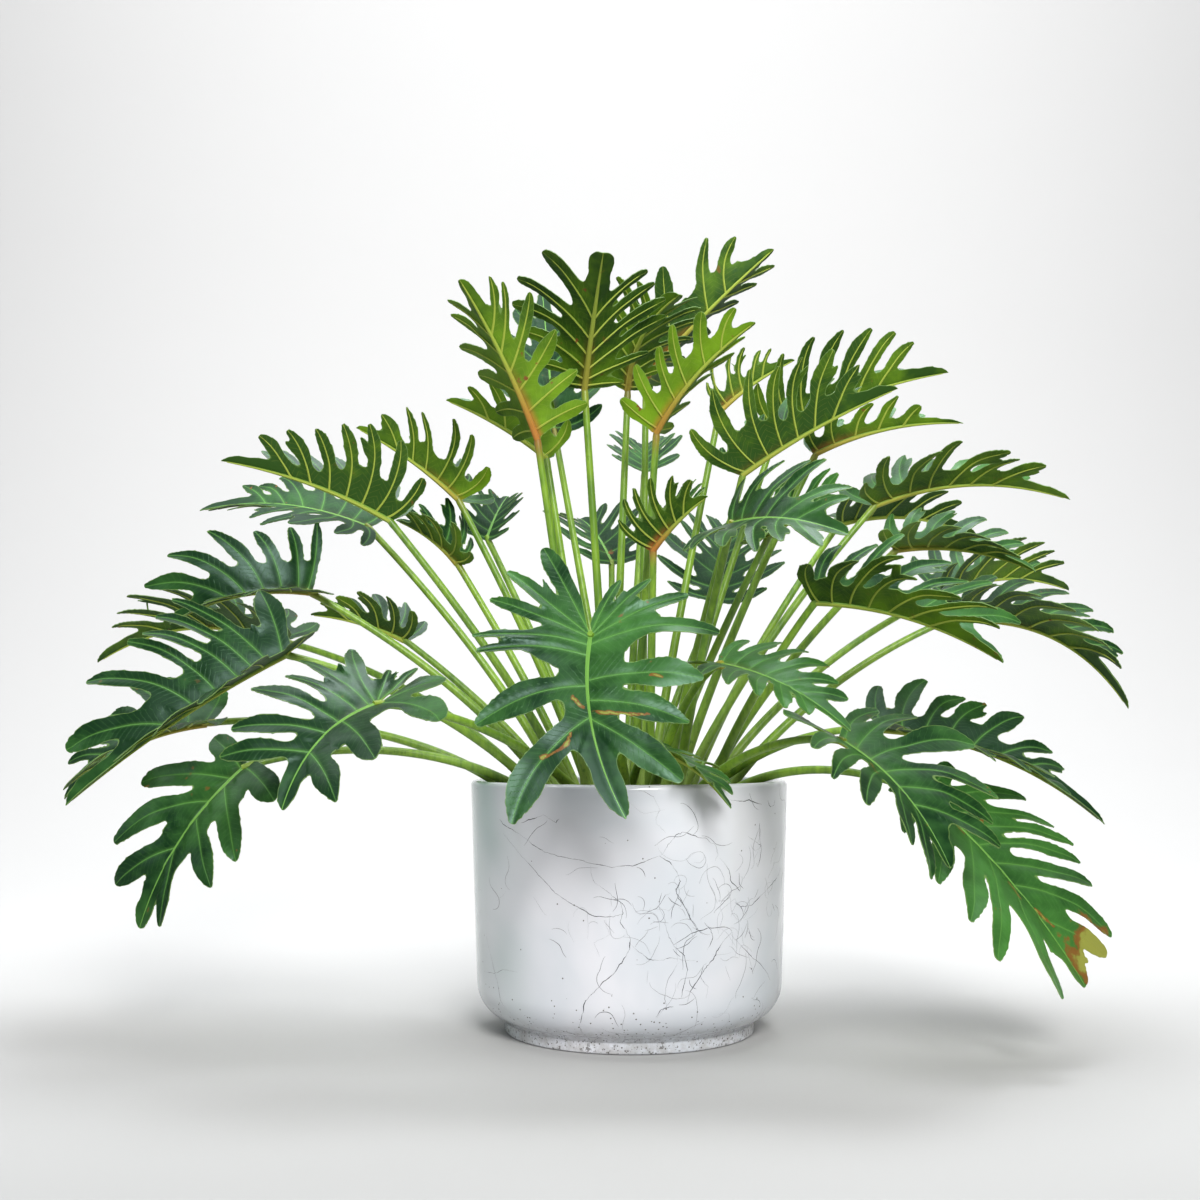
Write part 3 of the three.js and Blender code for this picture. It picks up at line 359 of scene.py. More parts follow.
leafFields = ("name", "place", "joint", "tip", "faces", "rise", "fold", "turn", "half", "lobes",
              "ears", "front", "bow")
leafRows = [
    ("leaf_top_1", 7, (-42, -60, 598), (-25, -180, 685), (0, 0.7, 0.7),
     8, 30, 10, 85, 7, 95, 0.65, 0.02),
    ("leaf_top_2", 20, (-85, -90, 545), (-150, -160, 670), (0.3, 0.7, 0.6),
     8, 35, 5, 75, 6, 105, 0.65, 0.02),
    ("leaf_top_3", 1, (0, 15, 615), (45, -80, 680), (0, 0.7, 0.7),
     8, 35, 5, 70, 6, 95, 0.65, 0.01),
    ("leaf_top_4", 11, (19, 50, 635), (146, 20, 758), (-0.4, 0.7, 0.7),
     -5, 35, 0, 80, 6, 120, 0.65, 0.02),
    ("leaf_top_5", 2, (25, -70, 555), (110, -130, 640), (-0.3, 0.6, 0.7),
     5, 35, 5, 55, 6, 95, 0.65, 0.02),
    ("leaf_top_6", 6, (-75, 98, 590), (-90, 142, 752), (0, -0.9, 0.3),
     5, 20, 0, 70, 5, 100, 0.65, 0.02),
    ("leaf_top_7", 4, (-80, 5, 545), (-175, -20, 595), (0, 0.3, 0.95),
     5, 50, 0, 62, 5, 110, 0.65, 0.03),
    ("leaf_top_8", 19, (20, 140, 555), (20, 220, 600), (0, -0.4, 0.9),
     5, 30, 0, 52, 5, 110, 0.65, 0.03),
    ("leaf_right_1", 3, (95, 70, 605), (175, 90, 663), (-0.3, 0.5, 0.8),
     5, 45, 0, 48, 6, 105, 0.65, 0.02),
    ("leaf_right_2", 5, (105, -70, 515), (240, -110, 585), (-0.4, 0.3, 0.85),
     5, 55, 0, 85, 7, 125, 0.65, 0.03),
    ("leaf_right_3", 24, (155, 90, 585), (340, 110, 655), (-0.3, 0.2, 0.9),
     10, 50, 0, 90, 7, 120, 0.65, 0.03),
    ("leaf_right_4", 8, (185, 10, 550), (325, -10, 575), (0, 0.1, 1),
     10, 55, 0, 40, 5, 110, 0.65, 0.05),
    ("leaf_right_5", 16, (250, 50, 505), (445, 50, 510), (0, -0.1, 1),
     18, 35, -10, 80, 7, 130, 0.65, 0.06),
    ("leaf_right_6", 37, (230, 150, 500), (395, 220, 495), (0, 0.2, 1),
     15, 30, -10, 70, 6, 120, 0.65, 0.06),
    ("leaf_right_7", 21, (255, -30, 450), (375, -60, 425), (0.2, -0.4, 0.9),
     10, 35, -5, 65, 6, 120, 0.65, 0.08),
    ("leaf_right_8", 18, (85, -165, 455), (170, -245, 435), (0, -0.8, 0.6),
     10, 20, -10, 75, 6, 125, 0.65, 0.04),
    ("leaf_right_9", 39, (160, -140, 390), (310, -180, 335), (0.1, -0.3, 0.95),
     12, 48, -10, 88, 7, 110, 0.85, 0.08),
    ("leaf_right_10", 34, (310, 10, 385), (475, -10, 300), (0.3, -0.3, 0.9),
     30, 40, -20, 85, 7, 115, 0.65, 0.1),
    ("leaf_right_11", 29, (330, 110, 420), (480, 170, 430), (0, -0.1, 1),
     15, 45, -10, 75, 6, 115, 0.65, 0.1),
    ("leaf_right_12", 26, (260, -110, 220), (380, -150, 65), (0.4, -0.6, 0.7),
     10, 15, -10, 100, 8, 130, 0.8, 0.2),
    ("leaf_right_13", 31, (170, -210, 270), (240, -270, 175), (0.5, -0.6, 0.6),
     12, 20, -10, 95, 6, 130, 0.85, 0.15),
    ("leaf_right_14", 23, (75, -160, 335), (172, -235, 278), (0.2, -0.5, 0.85),
     10, 15, -10, 60, 6, 120, 0.65, 0.2),
    ("leaf_right_15", 13, (230, -60, 280), (425, -80, 195), (0.2, -0.4, 0.9),
     20, 25, -10, 80, 7, 120, 0.65, 0.15),
    ("leaf_right_16", 0, (130, -60, 460), (195, -110, 485), (0, -0.7, 0.7),
     5, 30, 0, 60, 5, 110, 0.65, 0.04),
    ("leaf_middle_1", 10, (20, -110, 440), (65, -150, 480), (-0.5, 0.4, 0.75),
     3, 50, 0, 55, 6, 115, 0.65, 0.03),
    ("leaf_back_1", 40, (-15, 165, 460), (-50, 255, 520), (0, -0.5, 0.85),
     8, 30, 0, 70, 5, 120, 0.65, 0.05),
    ("leaf_back_2", 32, (95, 125, 415), (125, 230, 515), (0, -0.5, 0.85),
     10, 30, -5, 80, 6, 120, 0.65, 0.05),
    ("leaf_front_1", 36, (-35, -230, 355), (-8, -290, 212), (0, -0.85, 0.5),
     4, 8, -8, 100, 7, 172, 0.9, 0.1),
    ("leaf_front_2", 15, (15, -132, 266), (80, -190, 215), (0.4, 0, 0.9),
     8, 10, -5, 45, 5, 120, 0.65, 0.14),
    ("leaf_left_1", 12, (-225, -50, 475), (-375, -80, 525), (0.3, 0.3, 0.9),
     8, 55, 0, 72, 7, 128, 0.65, 0.05),
    ("leaf_left_2", 14, (-170, 40, 510), (-275, 60, 585), (0.5, 0.3, 0.8),
     5, 50, 0, 66, 6, 125, 0.65, 0.04),
    ("leaf_left_3", 9, (-170, 38, 445), (-228, 28, 485), (0.4, -0.3, 0.85),
     5, 40, 0, 55, 5, 110, 0.65, 0.04),
    ("leaf_left_4", 27, (-146, 118, 480), (-128, 168, 532), (0, -0.5, 0.8),
     5, 35, 0, 40, 5, 110, 0.65, 0.04),
    ("leaf_left_5", 35, (-265, 72, 486), (-440, 90, 505), (0.1, -0.5, 0.85),
     15, 15, -10, 80, 7, 125, 0.65, 0.06),
    ("leaf_left_6", 17, (-305, -20, 410), (-430, -40, 378), (0, -0.7, 0.7),
     15, 42, -10, 80, 7, 120, 0.65, 0.08),
    ("leaf_left_7", 33, (-305, -120, 345), (-475, -170, 216), (-0.2, -0.6, 0.8),
     8, 38, -12, 110, 8, 125, 0.75, 0.1),
    ("leaf_left_8", 28, (-210, -210, 300), (-270, -280, 218), (-0.1, -0.8, 0.6),
     12, 15, -10, 78, 7, 162, 0.8, 0.12),
    ("leaf_left_9", 38, (-405, -5, 285), (-530, -20, 215), (-0.2, -0.4, 0.9),
     15, 25, -10, 85, 6, 130, 0.65, 0.12),
    ("leaf_left_10", 25, (-345, -92, 246), (-427, -115, 108), (-0.25, -0.8, 0.5),
     15, 12, -25, 95, 6, 125, 0.75, 0.15),
    ("leaf_left_11", 22, (-225, 60, 370), (-320, 70, 395), (0.2, 0, 1),
     5, 40, 0, 55, 5, 120, 0.65, 0.06),
    ("leaf_left_12", 30, (-355, 90, 370), (-555, 130, 350), (-0.1, 0, 1),
     25, 30, -10, 90, 7, 125, 0.65, 0.1),
]
leaves = [dict(zip(leafFields, row)) for row in leafRows]

# what single leaves have besides: blush is how red the base is, tint how light the leaf is; dry places
# are given by along, out and size, and tears with brown edges by points along and out, in millimetres
leafCare = {
    "leaf_top_1": {"blush": 0.35}, "leaf_top_2": {"blush": 1.0}, "leaf_top_3": {"blush": 0.5},
    "leaf_top_4": {"blush": 0.9}, "leaf_top_5": {"blush": 0.8}, "leaf_middle_1": {"blush": 1.0},
    "leaf_front_1": {"tint": 0.2, "blush": 0.0,
                     "tears": [[(55, 12), (62, 7), (66, 1), (71, -9), (74, -20), (78, -32), (80, -45)],
                               [(84, 17), (93, 22), (98, 31), (102, 44)], [(47, -50), (51, -60)]]},
    "leaf_right_12": {"tint": 0.9, "dry": [(192, -32, 27)],
                      "tears": [[(98, 6), (106, 7), (113, 10)], [(128, -2), (138, -4), (149, -7)],
                                [(47, -12), (48, -18), (44, -24)], [(30, 4), (44, 5)]]},
    "leaf_right_13": {"tears": [[(40, 20), (45, 24), (52, 27)]]},
    "leaf_right_10": {"tears": [[(36, -16), (42, -20)]]},
    "leaf_left_10": {"tint": 0.1, "tears": [[(58, 66), (62, 72)]]}, "leaf_left_9": {"tint": -0.6},
    "leaf_left_7": {"tint": -0.6}, "leaf_left_8": {"tint": -0.2}, "leaf_left_6": {"tint": -0.5},
    "leaf_right_9": {"tint": 0.1}, "leaf_right_5": {"tint": 0.2}, "leaf_left_5": {"tint": -1.0},
    "leaf_left_12": {"tint": -0.8}, "leaf_right_3": {"tint": -0.3}, "leaf_right_4": {"tint": -0.2},
    "leaf_back_1": {"tint": -0.95}, "leaf_back_2": {"tint": -0.9}, "leaf_top_8": {"tint": -0.95},
    "leaf_left_4": {"tint": -0.9}, "leaf_right_6": {"tint": -0.8}, "leaf_right_11": {"tint": -0.8},
    "leaf_right_2": {"tint": -0.55},
}

# leaves listed one by one: for the right half (1) and the left half (-1), each lobe's place on the midrib,
# angle, length, bend and the notch after it, from the stalk to the tip; how far the midrib sways, and the
# tip lobe's start and half width
leafCuts = {
    "leaf_front_1": {
        "sway": 13, "tipFrom": 0.5, "tipHalf": 11.5,
        1: [(0, 165, 93, 0, 0.75), (0.01, 141, 92, 0, 0.48), (0.02, 124, 92, 0, 0.42),
            (0.06, 112, 99, 10, 0.8), (0.12, 112, 95, 12, 0.26), (0.29, 95, 90, 17, 0.2),
            (0.46, 62, 115, 15, 0.33)],
        -1: [(0, 150, 60, 5, 0.74), (0.01, 132, 73, 5, 0.64), (0.02, 115, 90, 8, 0.6),
             (0.06, 106, 108, 20, 0.3), (0.26, 92, 94, 12, 0.3), (0.37, 79, 82, 12, 0.28),
             (0.47, 51, 79, 10, 0.45)],
    },
    "leaf_top_1": {
        "tipFrom": 0.75, "tipHalf": 13,
        1: [(0.02, 104, 40, 0, 0.4), (0.06, 80, 58, -14, 0.4), (0.13, 60, 80, -26, 0.38),
            (0.23, 52, 92, -28, 0.36), (0.35, 50, 90, -26, 0.36), (0.5, 34, 70, -22, 0.5)],
        -1: [(0.02, 95, 45, 0, 0.4), (0.06, 72, 72, -8, 0.4), (0.13, 55, 92, -14, 0.38),
             (0.23, 46, 90, -18, 0.36), (0.35, 36, 76, -20, 0.36), (0.5, 32, 62, -24, 0.5)],
    },
    "leaf_top_2": {
        1: [(0.04, 84, 52, -10, 0.4), (0.15, 76, 64, -10, 0.36), (0.28, 68, 78, -10, 0.33),
            (0.4, 58, 84, -14, 0.33), (0.52, 46, 76, -14, 0.36), (0.64, 40, 60, -16, 0.5)],
        -1: [(0.04, 76, 54, -8, 0.36), (0.15, 68, 60, -6, 0.33), (0.28, 60, 66, 2, 0.3),
             (0.4, 47, 72, 5, 0.3), (0.52, 38, 66, 6, 0.36), (0.64, 42, 52, 14, 0.5)],
    },
    "leaf_top_3": {
        "sway": 10, "tipFrom": 0.75, "tipHalf": 10,
        1: [(0.02, 98, 44, 0, 0.4), (0.1, 72, 56, -12, 0.38), (0.23, 62, 68, -16, 0.36),
            (0.36, 52, 72, -18, 0.36), (0.5, 44, 62, -18, 0.36), (0.62, 36, 46, -18, 0.5)],
        -1: [(0.02, 92, 34, 0, 0.4), (0.06, 66, 50, -10, 0.4), (0.13, 54, 62, -18, 0.38),
             (0.24, 52, 74, -22, 0.36), (0.36, 46, 76, -24, 0.36), (0.48, 40, 64, -24, 0.36),
             (0.62, 30, 46, -18, 0.5)],
    },
    "leaf_top_4": {
        "sway": 8, "tipFrom": 0.8, "tipHalf": 7,
        1: [(0.02, 100, 60, 10, 0.4), (0.1, 76, 72, 8, 0.36), (0.23, 60, 77, 6, 0.38),
            (0.5, 58, 74, 12, 0.42), (0.64, 60, 59, 24, 0.54)],
        -1: [(0.02, 96, 50, 10, 0.4), (0.12, 80, 62, 8, 0.36), (0.3, 72, 66, 6, 0.36),
             (0.48, 60, 70, 4, 0.36), (0.61, 56, 64, 6, 0.4), (0.72, 46, 64, 4, 0.5)],
    },
    "leaf_top_5": {
        "sway": 6, "tipFrom": 0.8, "tipHalf": 6,
        1: [(0.02, 96, 44, 8, 0.4), (0.1, 74, 52, 8, 0.33), (0.25, 68, 52, 10, 0.33),
            (0.38, 64, 56, 8, 0.35), (0.57, 58, 48, 8, 0.4), (0.72, 46, 40, 14, 0.5)],
        -1: [(0.02, 95, 40, 10, 0.4), (0.12, 78, 46, 8, 0.36), (0.28, 66, 52, 6, 0.36),
             (0.44, 56, 52, 4, 0.36), (0.6, 50, 42, 4, 0.5)],
    },
    "leaf_right_12": {
        "tipFrom": 0.76, "tipHalf": 13,
        1: [(0, 124, 50, 8, 0.4), (0.03, 102, 96, 18, 0.5), (0.11, 76, 108, 8, 0.37),
            (0.24, 64, 126, -2, 0.37), (0.35, 56, 122, -2, 0.42), (0.51, 54, 106, 16, 0.6)],
        -1: [(0, 106, 52, 8, 0.4), (0.03, 74, 105, 12, 0.4), (0.11, 64, 122, 8, 0.5),
             (0.2, 66, 123, 12, 0.24), (0.29, 64, 118, 10, 0.22), (0.39, 55, 106, 4, 0.26),
             (0.51, 52, 112, 12, 0.44), (0.68, 42, 70, 6, 0.86)],
    },
    "leaf_left_6": {
        "tipFrom": 0.72, "tipHalf": 8,
        1: [(0.01, 104, 75, 8, 0.4), (0.07, 92, 62, 8, 0.4), (0.18, 84, 66, 10, 0.36),
            (0.3, 74, 78, 12, 0.36), (0.43, 62, 84, 12, 0.36), (0.56, 48, 78, 12, 0.42)],
        -1: [(0.01, 118, 40, 8, 0.4), (0.12, 84, 46, 8, 0.36), (0.28, 72, 50, 8, 0.36),
             (0.43, 60, 50, 8, 0.36), (0.56, 48, 46, 8, 0.45)],
    },
    "leaf_left_7": {
        "tipFrom": 0.68, "tipHalf": 11,
        1: [(0.01, 112, 70, 10, 0.4), (0.07, 81, 118, 10, 0.39), (0.13, 80, 116, 12, 0.39),
            (0.2, 82, 105, 18, 0.33), (0.3, 86, 96, 18, 0.33), (0.4, 77, 99, 24, 0.38),
            (0.52, 45, 86, 16, 0.41)],
        -1: [(0, 120, 50, 10, 0.4), (0.1, 84, 62, 10, 0.36), (0.24, 72, 70, 10, 0.36),
             (0.38, 62, 72, 10, 0.36), (0.52, 50, 66, 8, 0.42)],
    },
    "leaf_left_8": {
        "sway": 9, "tipFrom": 0.62, "tipHalf": 9,
        1: [(0, 172, 74, 0, 0.8), (0, 155, 56, 0, 0.42), (0, 112, 82, -16, 0.7),
            (0.05, 104, 84, 8, 0.6), (0.14, 96, 74, 8, 0.28), (0.3, 92, 82, 8, 0.2),
            (0.42, 72, 76, 8, 0.22), (0.6, 66, 74, 4, 0.3)],
        -1: [(0, 166, 74, 0, 0.4), (0, 122, 66, 36, 0.36), (0.28, 70, 64, 6, 0.42),
             (0.6, 68, 58, 10, 0.45)],
    },
    "leaf_left_10": {
        "sway": 3, "tipFrom": 0.72, "tipHalf": 10,
        1: [(0.02, 108, 46, 6, 0.34), (0.09, 68, 90, 6, 0.24), (0.25, 58, 93, 18, 0.3),
            (0.55, 48, 68, 10, 0.5)],
        -1: [(0, 86, 56, 8, 0.5), (0.14, 58, 81, 4, 0.33), (0.36, 58, 70, 4, 0.42),
             (0.56, 30, 64, 6, 0.5)],
    },
}

# the rule for the other leaves' lobes, and what all blades share; lengths in millimetres, parts from 0 to 1
leafShape = {
    "cell": 2.3, "thickness": 0.7, "frontAngle": 50, "firstAttach": 0.02, "lastAttach": 0.6,
    "tipAttach": 0.78, "longestPart": 0.35, "hindLength": 0.75, "hindBend": 24, "frontBend": 8,
    "lobeFill": 0.40, "lobeFillLost": 0.0022, "lobeWidest": 13, "lobeWide": 0.62, "lobeRoot": 0.74,
    "lobeEnd": 0.965, "lobeSteps": 17, "peakUneven": 0.07, "widthUneven": 0.08, "lengthUneven": 0.07,
    "angleUneven": 5, "liftUneven": 7, "cutLiftUneven": 4, "tipWidth": 0.1, "tipSteps": 14,
    "notch": 0.33, "notchUneven": 0.1, "tipNotch": 0.45, "notchRound": 8, "notchSharp": 0.6,
    "forked": 0.55, "forkFrom": 0.52, "forkTurn": 27, "forkLength": 0.33, "forkEnd": 0.8,
    "webFoot": 0.34, "webAway": 0.9, "webTip": 0.6, "webEnd": 0.85, "webDeep": 20,
    "twist": 12, "liftFrom": 0.4, "droop": 0.16, "droopFrom": 0.5, "cup": 1.3, "cupMost": 1.6,
    "wave": 1.2, "waveFrom": 6, "waveFull": 40, "groove": 0.8, "grooveWide": 3.4,
    "ribGroove": 0.35, "ribGrooveWide": 3, "edgeRipple": 0.35, "foldRound": 2.2, "foldFade": 14,
    "veinRadius": 0.85, "veinThinnest": 0.30, "veinEnd": 0.88, "veinSunk": 0.62, "veinSides": 5,
    "veinSteps": 12, "ribRadius": 2.5, "ribThinnest": 0.45, "ribEnd": 0.97, "ribSunk": 0.55,
    "ribSides": 8, "ribSteps": 26, "veinless": 30.0,
}
# the tip lobe's half width along it, for the listed leaves and for the others
tipCut = np.array([(0.05, 0.6), (0.5, 0.95), (0.68, 1.0), (0.84, 0.72), (0.94, 0.36), (0.985, 0.12)])
tipPlain = np.array([(-0.35, 1.3), (0.1, 1.25), (0.55, 1.15), (0.8, 0.8), (0.93, 0.42), (0.985, 0.15)])
forkWidths = np.array([0.80, 0.80, 0.78, 0.72, 0.60, 0.42, 0.20])
farAway = 99.0  # further than any point of a blade is from an edge

stalkShape = {
    "crownStep": 12, "crownStart": 2.5, "goldenAngle": 137.508, "soilTop": 204, "depth": 14,
    "footRadius": 5.2, "topRadius": 3.2, "taper": 1.6, "overrun": 2.5, "lift": 0.06, "lowAt": 0.25,
    "highAt": 0.7, "kneeAt": 0.985, "kneeLong": 0.02, "kneeSwell": 0.10, "endNarrow": 0.72,
    "rings": 40, "sides": 14, "upward": (0.31, -0.95, 0.05),
}


def lobePlan(leaf, number, side):  # the lobes of one half, from the hindmost to the foremost
    s = leafShape
    if leaf["name"] in leafCuts:
        plan = [dict(zip(("attach", "angle", "length", "bend", "notch"), cut))
                for cut in leafCuts[leaf["name"]][side]]
        for i, lobe in enumerate(plan):
            lobe["lift"] = s["cutLiftUneven"] * unlike(i + 3 * side + 5, number)
        return plan
    plan = []
    for i in range(leaf["lobes"]):
        part = i / (leaf["lobes"] - 1)
        hind = part < s["longestPart"]
        shorter = 1 - s["hindLength"] if hind else 1 - leaf["front"]
        away = (part - s["longestPart"]) / (s["longestPart"] if hind else 1 - s["longestPart"])
        angle = leaf["ears"] + (s["frontAngle"] - leaf["ears"]) * part ** 0.8
        length = leaf["half"] * (1 - shorter * away ** 2)
        plan.append({
            "attach": s["firstAttach"] + (s["lastAttach"] - s["firstAttach"]) * part ** 1.2,
            "angle": angle + s["angleUneven"] * unlike(i + side, number),
            "length": length * (1 + s["lengthUneven"] * unlike(i + 2 * side + 3, number)),
            "bend": s["hindBend"] + (s["frontBend"] - s["hindBend"]) * part,
            "notch": s["notch"] + s["notchUneven"] * unlike(i + 4 * side, number),
            "lift": s["liftUneven"] * unlike(i + 3 * side + 5, number),
        })
    plan[-1]["notch"] = s["tipNotch"]
    return plan


def lobeMiddle(lobe, bladeLength, t):  # the lobe's own vein, in the flat
    angle = np.radians(lobe["angle"] - lobe["bend"] * np.asarray(t, float))
    along = lobe["attach"] * bladeLength + lobe["length"] * t * np.cos(angle)
    return np.stack([along, lobe["length"] * t * np.sin(angle)], -1)


def lobeStrip(leaf, number, side, i, middle, room):  # a lobe as a strip of changing width round its vein
    s = leafShape
    root = s["lobeRoot"]
    t = np.linspace(0, s["lobeEnd"], s["lobeSteps"])
    wide = min(s["lobeWidest"], (s["lobeFill"] - s["lobeFillLost"] * leaf["fold"]) * room)
    peak = s["lobeWide"] + s["peakUneven"] * unlike(i + 2, number + side)
    blunt = 0.75 + 0.25 * unlike(i + side, number + 6)
    inner = root + (1 - root) * smooth(0.1, peak, t)
    outer = np.clip(1 - ((t - peak) / (1.02 - peak)) ** 2, 0.02, 1) ** blunt
    widths = wide * np.where(t < peak, inner, outer)
    widths = widths * (1 + s["widthUneven"] * np.sin(10 * t + 5 * unlike(i, number + side)))
    return {"path": middle(t), "widths": widths, "start": 0, "reach": s["lobeEnd"], "lobe": i}, wide


def forkStrip(lobe, i, middle, wide):  # a side point on a lobe
    s = leafShape
    root, ahead = middle(s["forkFrom"]), middle(s["forkFrom"] + 0.02)
    heading = math.atan2(ahead[1] - root[1], ahead[0] - root[0]) - math.radians(s["forkTurn"])
    reach = s["forkLength"] * lobe["length"] * np.linspace(0, 1, len(forkWidths))[:, None]
    return {"path": root + reach * (math.cos(heading), math.sin(heading)), "widths": forkWidths * wide,
            "start": s["forkFrom"], "reach": s["forkEnd"], "lobe": i}


def halfPlan(leaf, number, side):  # one half blade in the flat: strips for the lobes, a web between them
    s = leafShape
    length = float(np.linalg.norm(np.subtract(leaf["tip"], leaf["joint"])))
    plan = lobePlan(leaf, number, side)
    cut = leafCuts.get(leaf["name"], {})
    tipFrom = cut.get("tipFrom", s["tipAttach"])
    middles = [lambda t, lobe=lobe: lobeMiddle(lobe, length, t) for lobe in plan]
    middles.append(lambda t: np.stack([length * (tipFrom + (1 - tipFrom) * np.asarray(t, float)),
                                       0 * np.asarray(t, float)], -1))
    stops = np.array([0.4, 0.5, 0.6, 0.7, 0.8, 0.9, 1])  # places on the outer part of a vein

    def apart(one, other):  # from one lobe's widest place to the other's vein
        return np.linalg.norm(other(stops) - one(s["lobeWide"]), axis=1).min()

    pairs = zip(middles, middles[1:])
    rooms = [min(apart(one, other), apart(other, one)) for one, other in pairs]
    rooms = [min(rooms[max(0, i - 1)], rooms[i]) for i in range(len(plan))]
    strips = []
    for i, lobe in enumerate(plan):
        strip, wide = lobeStrip(leaf, number, side, i, middles[i], rooms[i])
        strips.append(strip)
        if not cut and i > 0 and unlike(3 * i + side, number + 1) > s["forked"]:
            strips.append(forkStrip(lobe, i, middles[i], wide))
    tipStops, tipWidths = (tipCut if cut else tipPlain).T
    t = np.linspace(tipStops[0], tipStops[-1], s["tipSteps"])
    tipWidths = np.interp(t, tipStops, tipWidths * cut.get("tipHalf", leaf["half"] * s["tipWidth"]))
    strips.append({"path": middles[-1](t), "widths": tipWidths, "start": 0, "reach": tipStops[-1],
                   "lobe": -1})
    wides = [min(s["lobeWidest"], s["lobeFill"] * room) for room in rooms]

    # the web runs from the stalk round the hindmost lobe's foot, through the notches, to the tip lobe
    first = plan[0]
    root = lobeMiddle(first, length, s["webFoot"])
    ahead = lobeMiddle(first, length, s["webFoot"] + 0.02) - root
    away = np.array([ahead[1], -ahead[0]]) / np.linalg.norm(ahead)
    root = root + away * s["webAway"] * wides[0]
    root[1] = max(1.0, root[1])
    if root[0] > first["attach"] * length:  # a hindmost lobe that points ahead
        root = lobeMiddle(first, length, s["webFoot"] - 0.04)
    web = [(0, -s["webDeep"]), (0, 0), tuple(root)]
    for lobe, one, other in zip(plan, middles, middles[1:]):
        web.append(tuple((one(lobe["notch"]) + other(lobe["notch"])) / 2))
    web += [(length * (tipFrom + s["webTip"] * (1 - tipFrom)), 0), (length * s["webEnd"], -s["webDeep"])]
    return {"length": length, "plan": plan, "strips": strips, "web": np.array(web), "wides": wides}


def stripReach(points, strip):  # distance outside the strip's edge, place along it, distance across it
    path, widths = strip["path"], strip["widths"]
    start, step = path[:-1], np.diff(path, axis=0)
    offset = points[:, None] - start
    part = np.clip((offset * step).sum(-1) / (step ** 2).sum(-1), 0, 1)
    near = offset - part[..., None] * step
    outside = np.hypot(near[..., 0], near[..., 1]) - (widths[:-1] + part * np.diff(widths))
    k = np.argmin(outside, axis=1)
    row = np.arange(len(points))
    d = unit(step)[k]
    across = d[:, 0] * offset[row, k, 1] - d[:, 1] * offset[row, k, 0]
    t = strip["start"] + (k + part[row, k]) / len(step) * (strip["reach"] - strip["start"])
    return outside[row, k], t, across


def webReach(points, corners):  # distance outside a polygon
    start, end = corners, np.roll(corners, -1, axis=0)
    step = end - start
    offset = points[:, None] - start
    part = np.clip((offset * step).sum(-1) / np.maximum((step ** 2).sum(-1), 1e-9), 0, 1)
    near = offset - part[..., None] * step
    apart = np.hypot(near[..., 0], near[..., 1]).min(1)
    y = points[:, 1:2]
    spans = (start[:, 1] > y) != (end[:, 1] > y)
    rise = np.where(np.abs(step[:, 1]) < 1e-9, 1e-9, step[:, 1])
    crossing = start[:, 0] + (y - start[:, 1]) * step[:, 0] / rise
    inside = (spans & (points[:, :1] < crossing)).sum(1) % 2 == 1
    return np.where(inside, -apart, apart)


def flatLeaf(leaf, number, points):  # at each point: how far out of the leaf, and where on which lobe
    s = leafShape
    count = max(len(leaf["halves"][side]["plan"]) for side in (1, -1)) + 1
    edge = np.full(len(points), farAway)
    nearest = np.zeros(len(points), int)
    part = np.zeros((len(points), count))
    across = np.full((len(points), count), farAway)
    for side in (1, -1):
        mine = points[:, 1] >= 0 if side > 0 else points[:, 1] < 0
        if not mine.any():
            continue
        half = leaf["halves"][side]
        at = np.stack([points[mine, 0], np.abs(points[mine, 1])], 1)
        total = webReach(at, half["web"])
        best = np.full(len(at), farAway)
        closest = np.zeros(len(at), int)
        for strip in half["strips"]:
            i = strip["lobe"]
            outside, t, off = stripReach(at, strip)
            if strip["start"] == 0:  # a side point is drawn with its own lobe's vein
                part[mine, i] = t
                across[mine, i] = off
            better = outside < best
            best = np.where(better, outside, best)
            closest = np.where(better, i, closest)
            k = s["notchSharp"] + (s["notchRound"] - s["notchSharp"]) * (1 - smooth(0.40, 0.62, t))
            overlap = np.maximum(k - np.abs(total - outside), 0)
            total = np.minimum(total, outside) - overlap ** 2 / (4 * k)
        ripple = s["edgeRipple"] * np.sin(0.33 * at[:, 0] + 2 * np.sin(0.17 * at[:, 1]) + number)
        total = total + ripple * np.sin(0.41 * at[:, 1] + side)
        slit = np.where(at[:, 0] < -1, 1.3 - at[:, 1], -farAway)  # behind the stalk the halves part
        edge[mine] = np.maximum(total, slit)
        nearest[mine] = closest
    return {"edge": edge, "nearest": nearest, "part": part, "across": across}


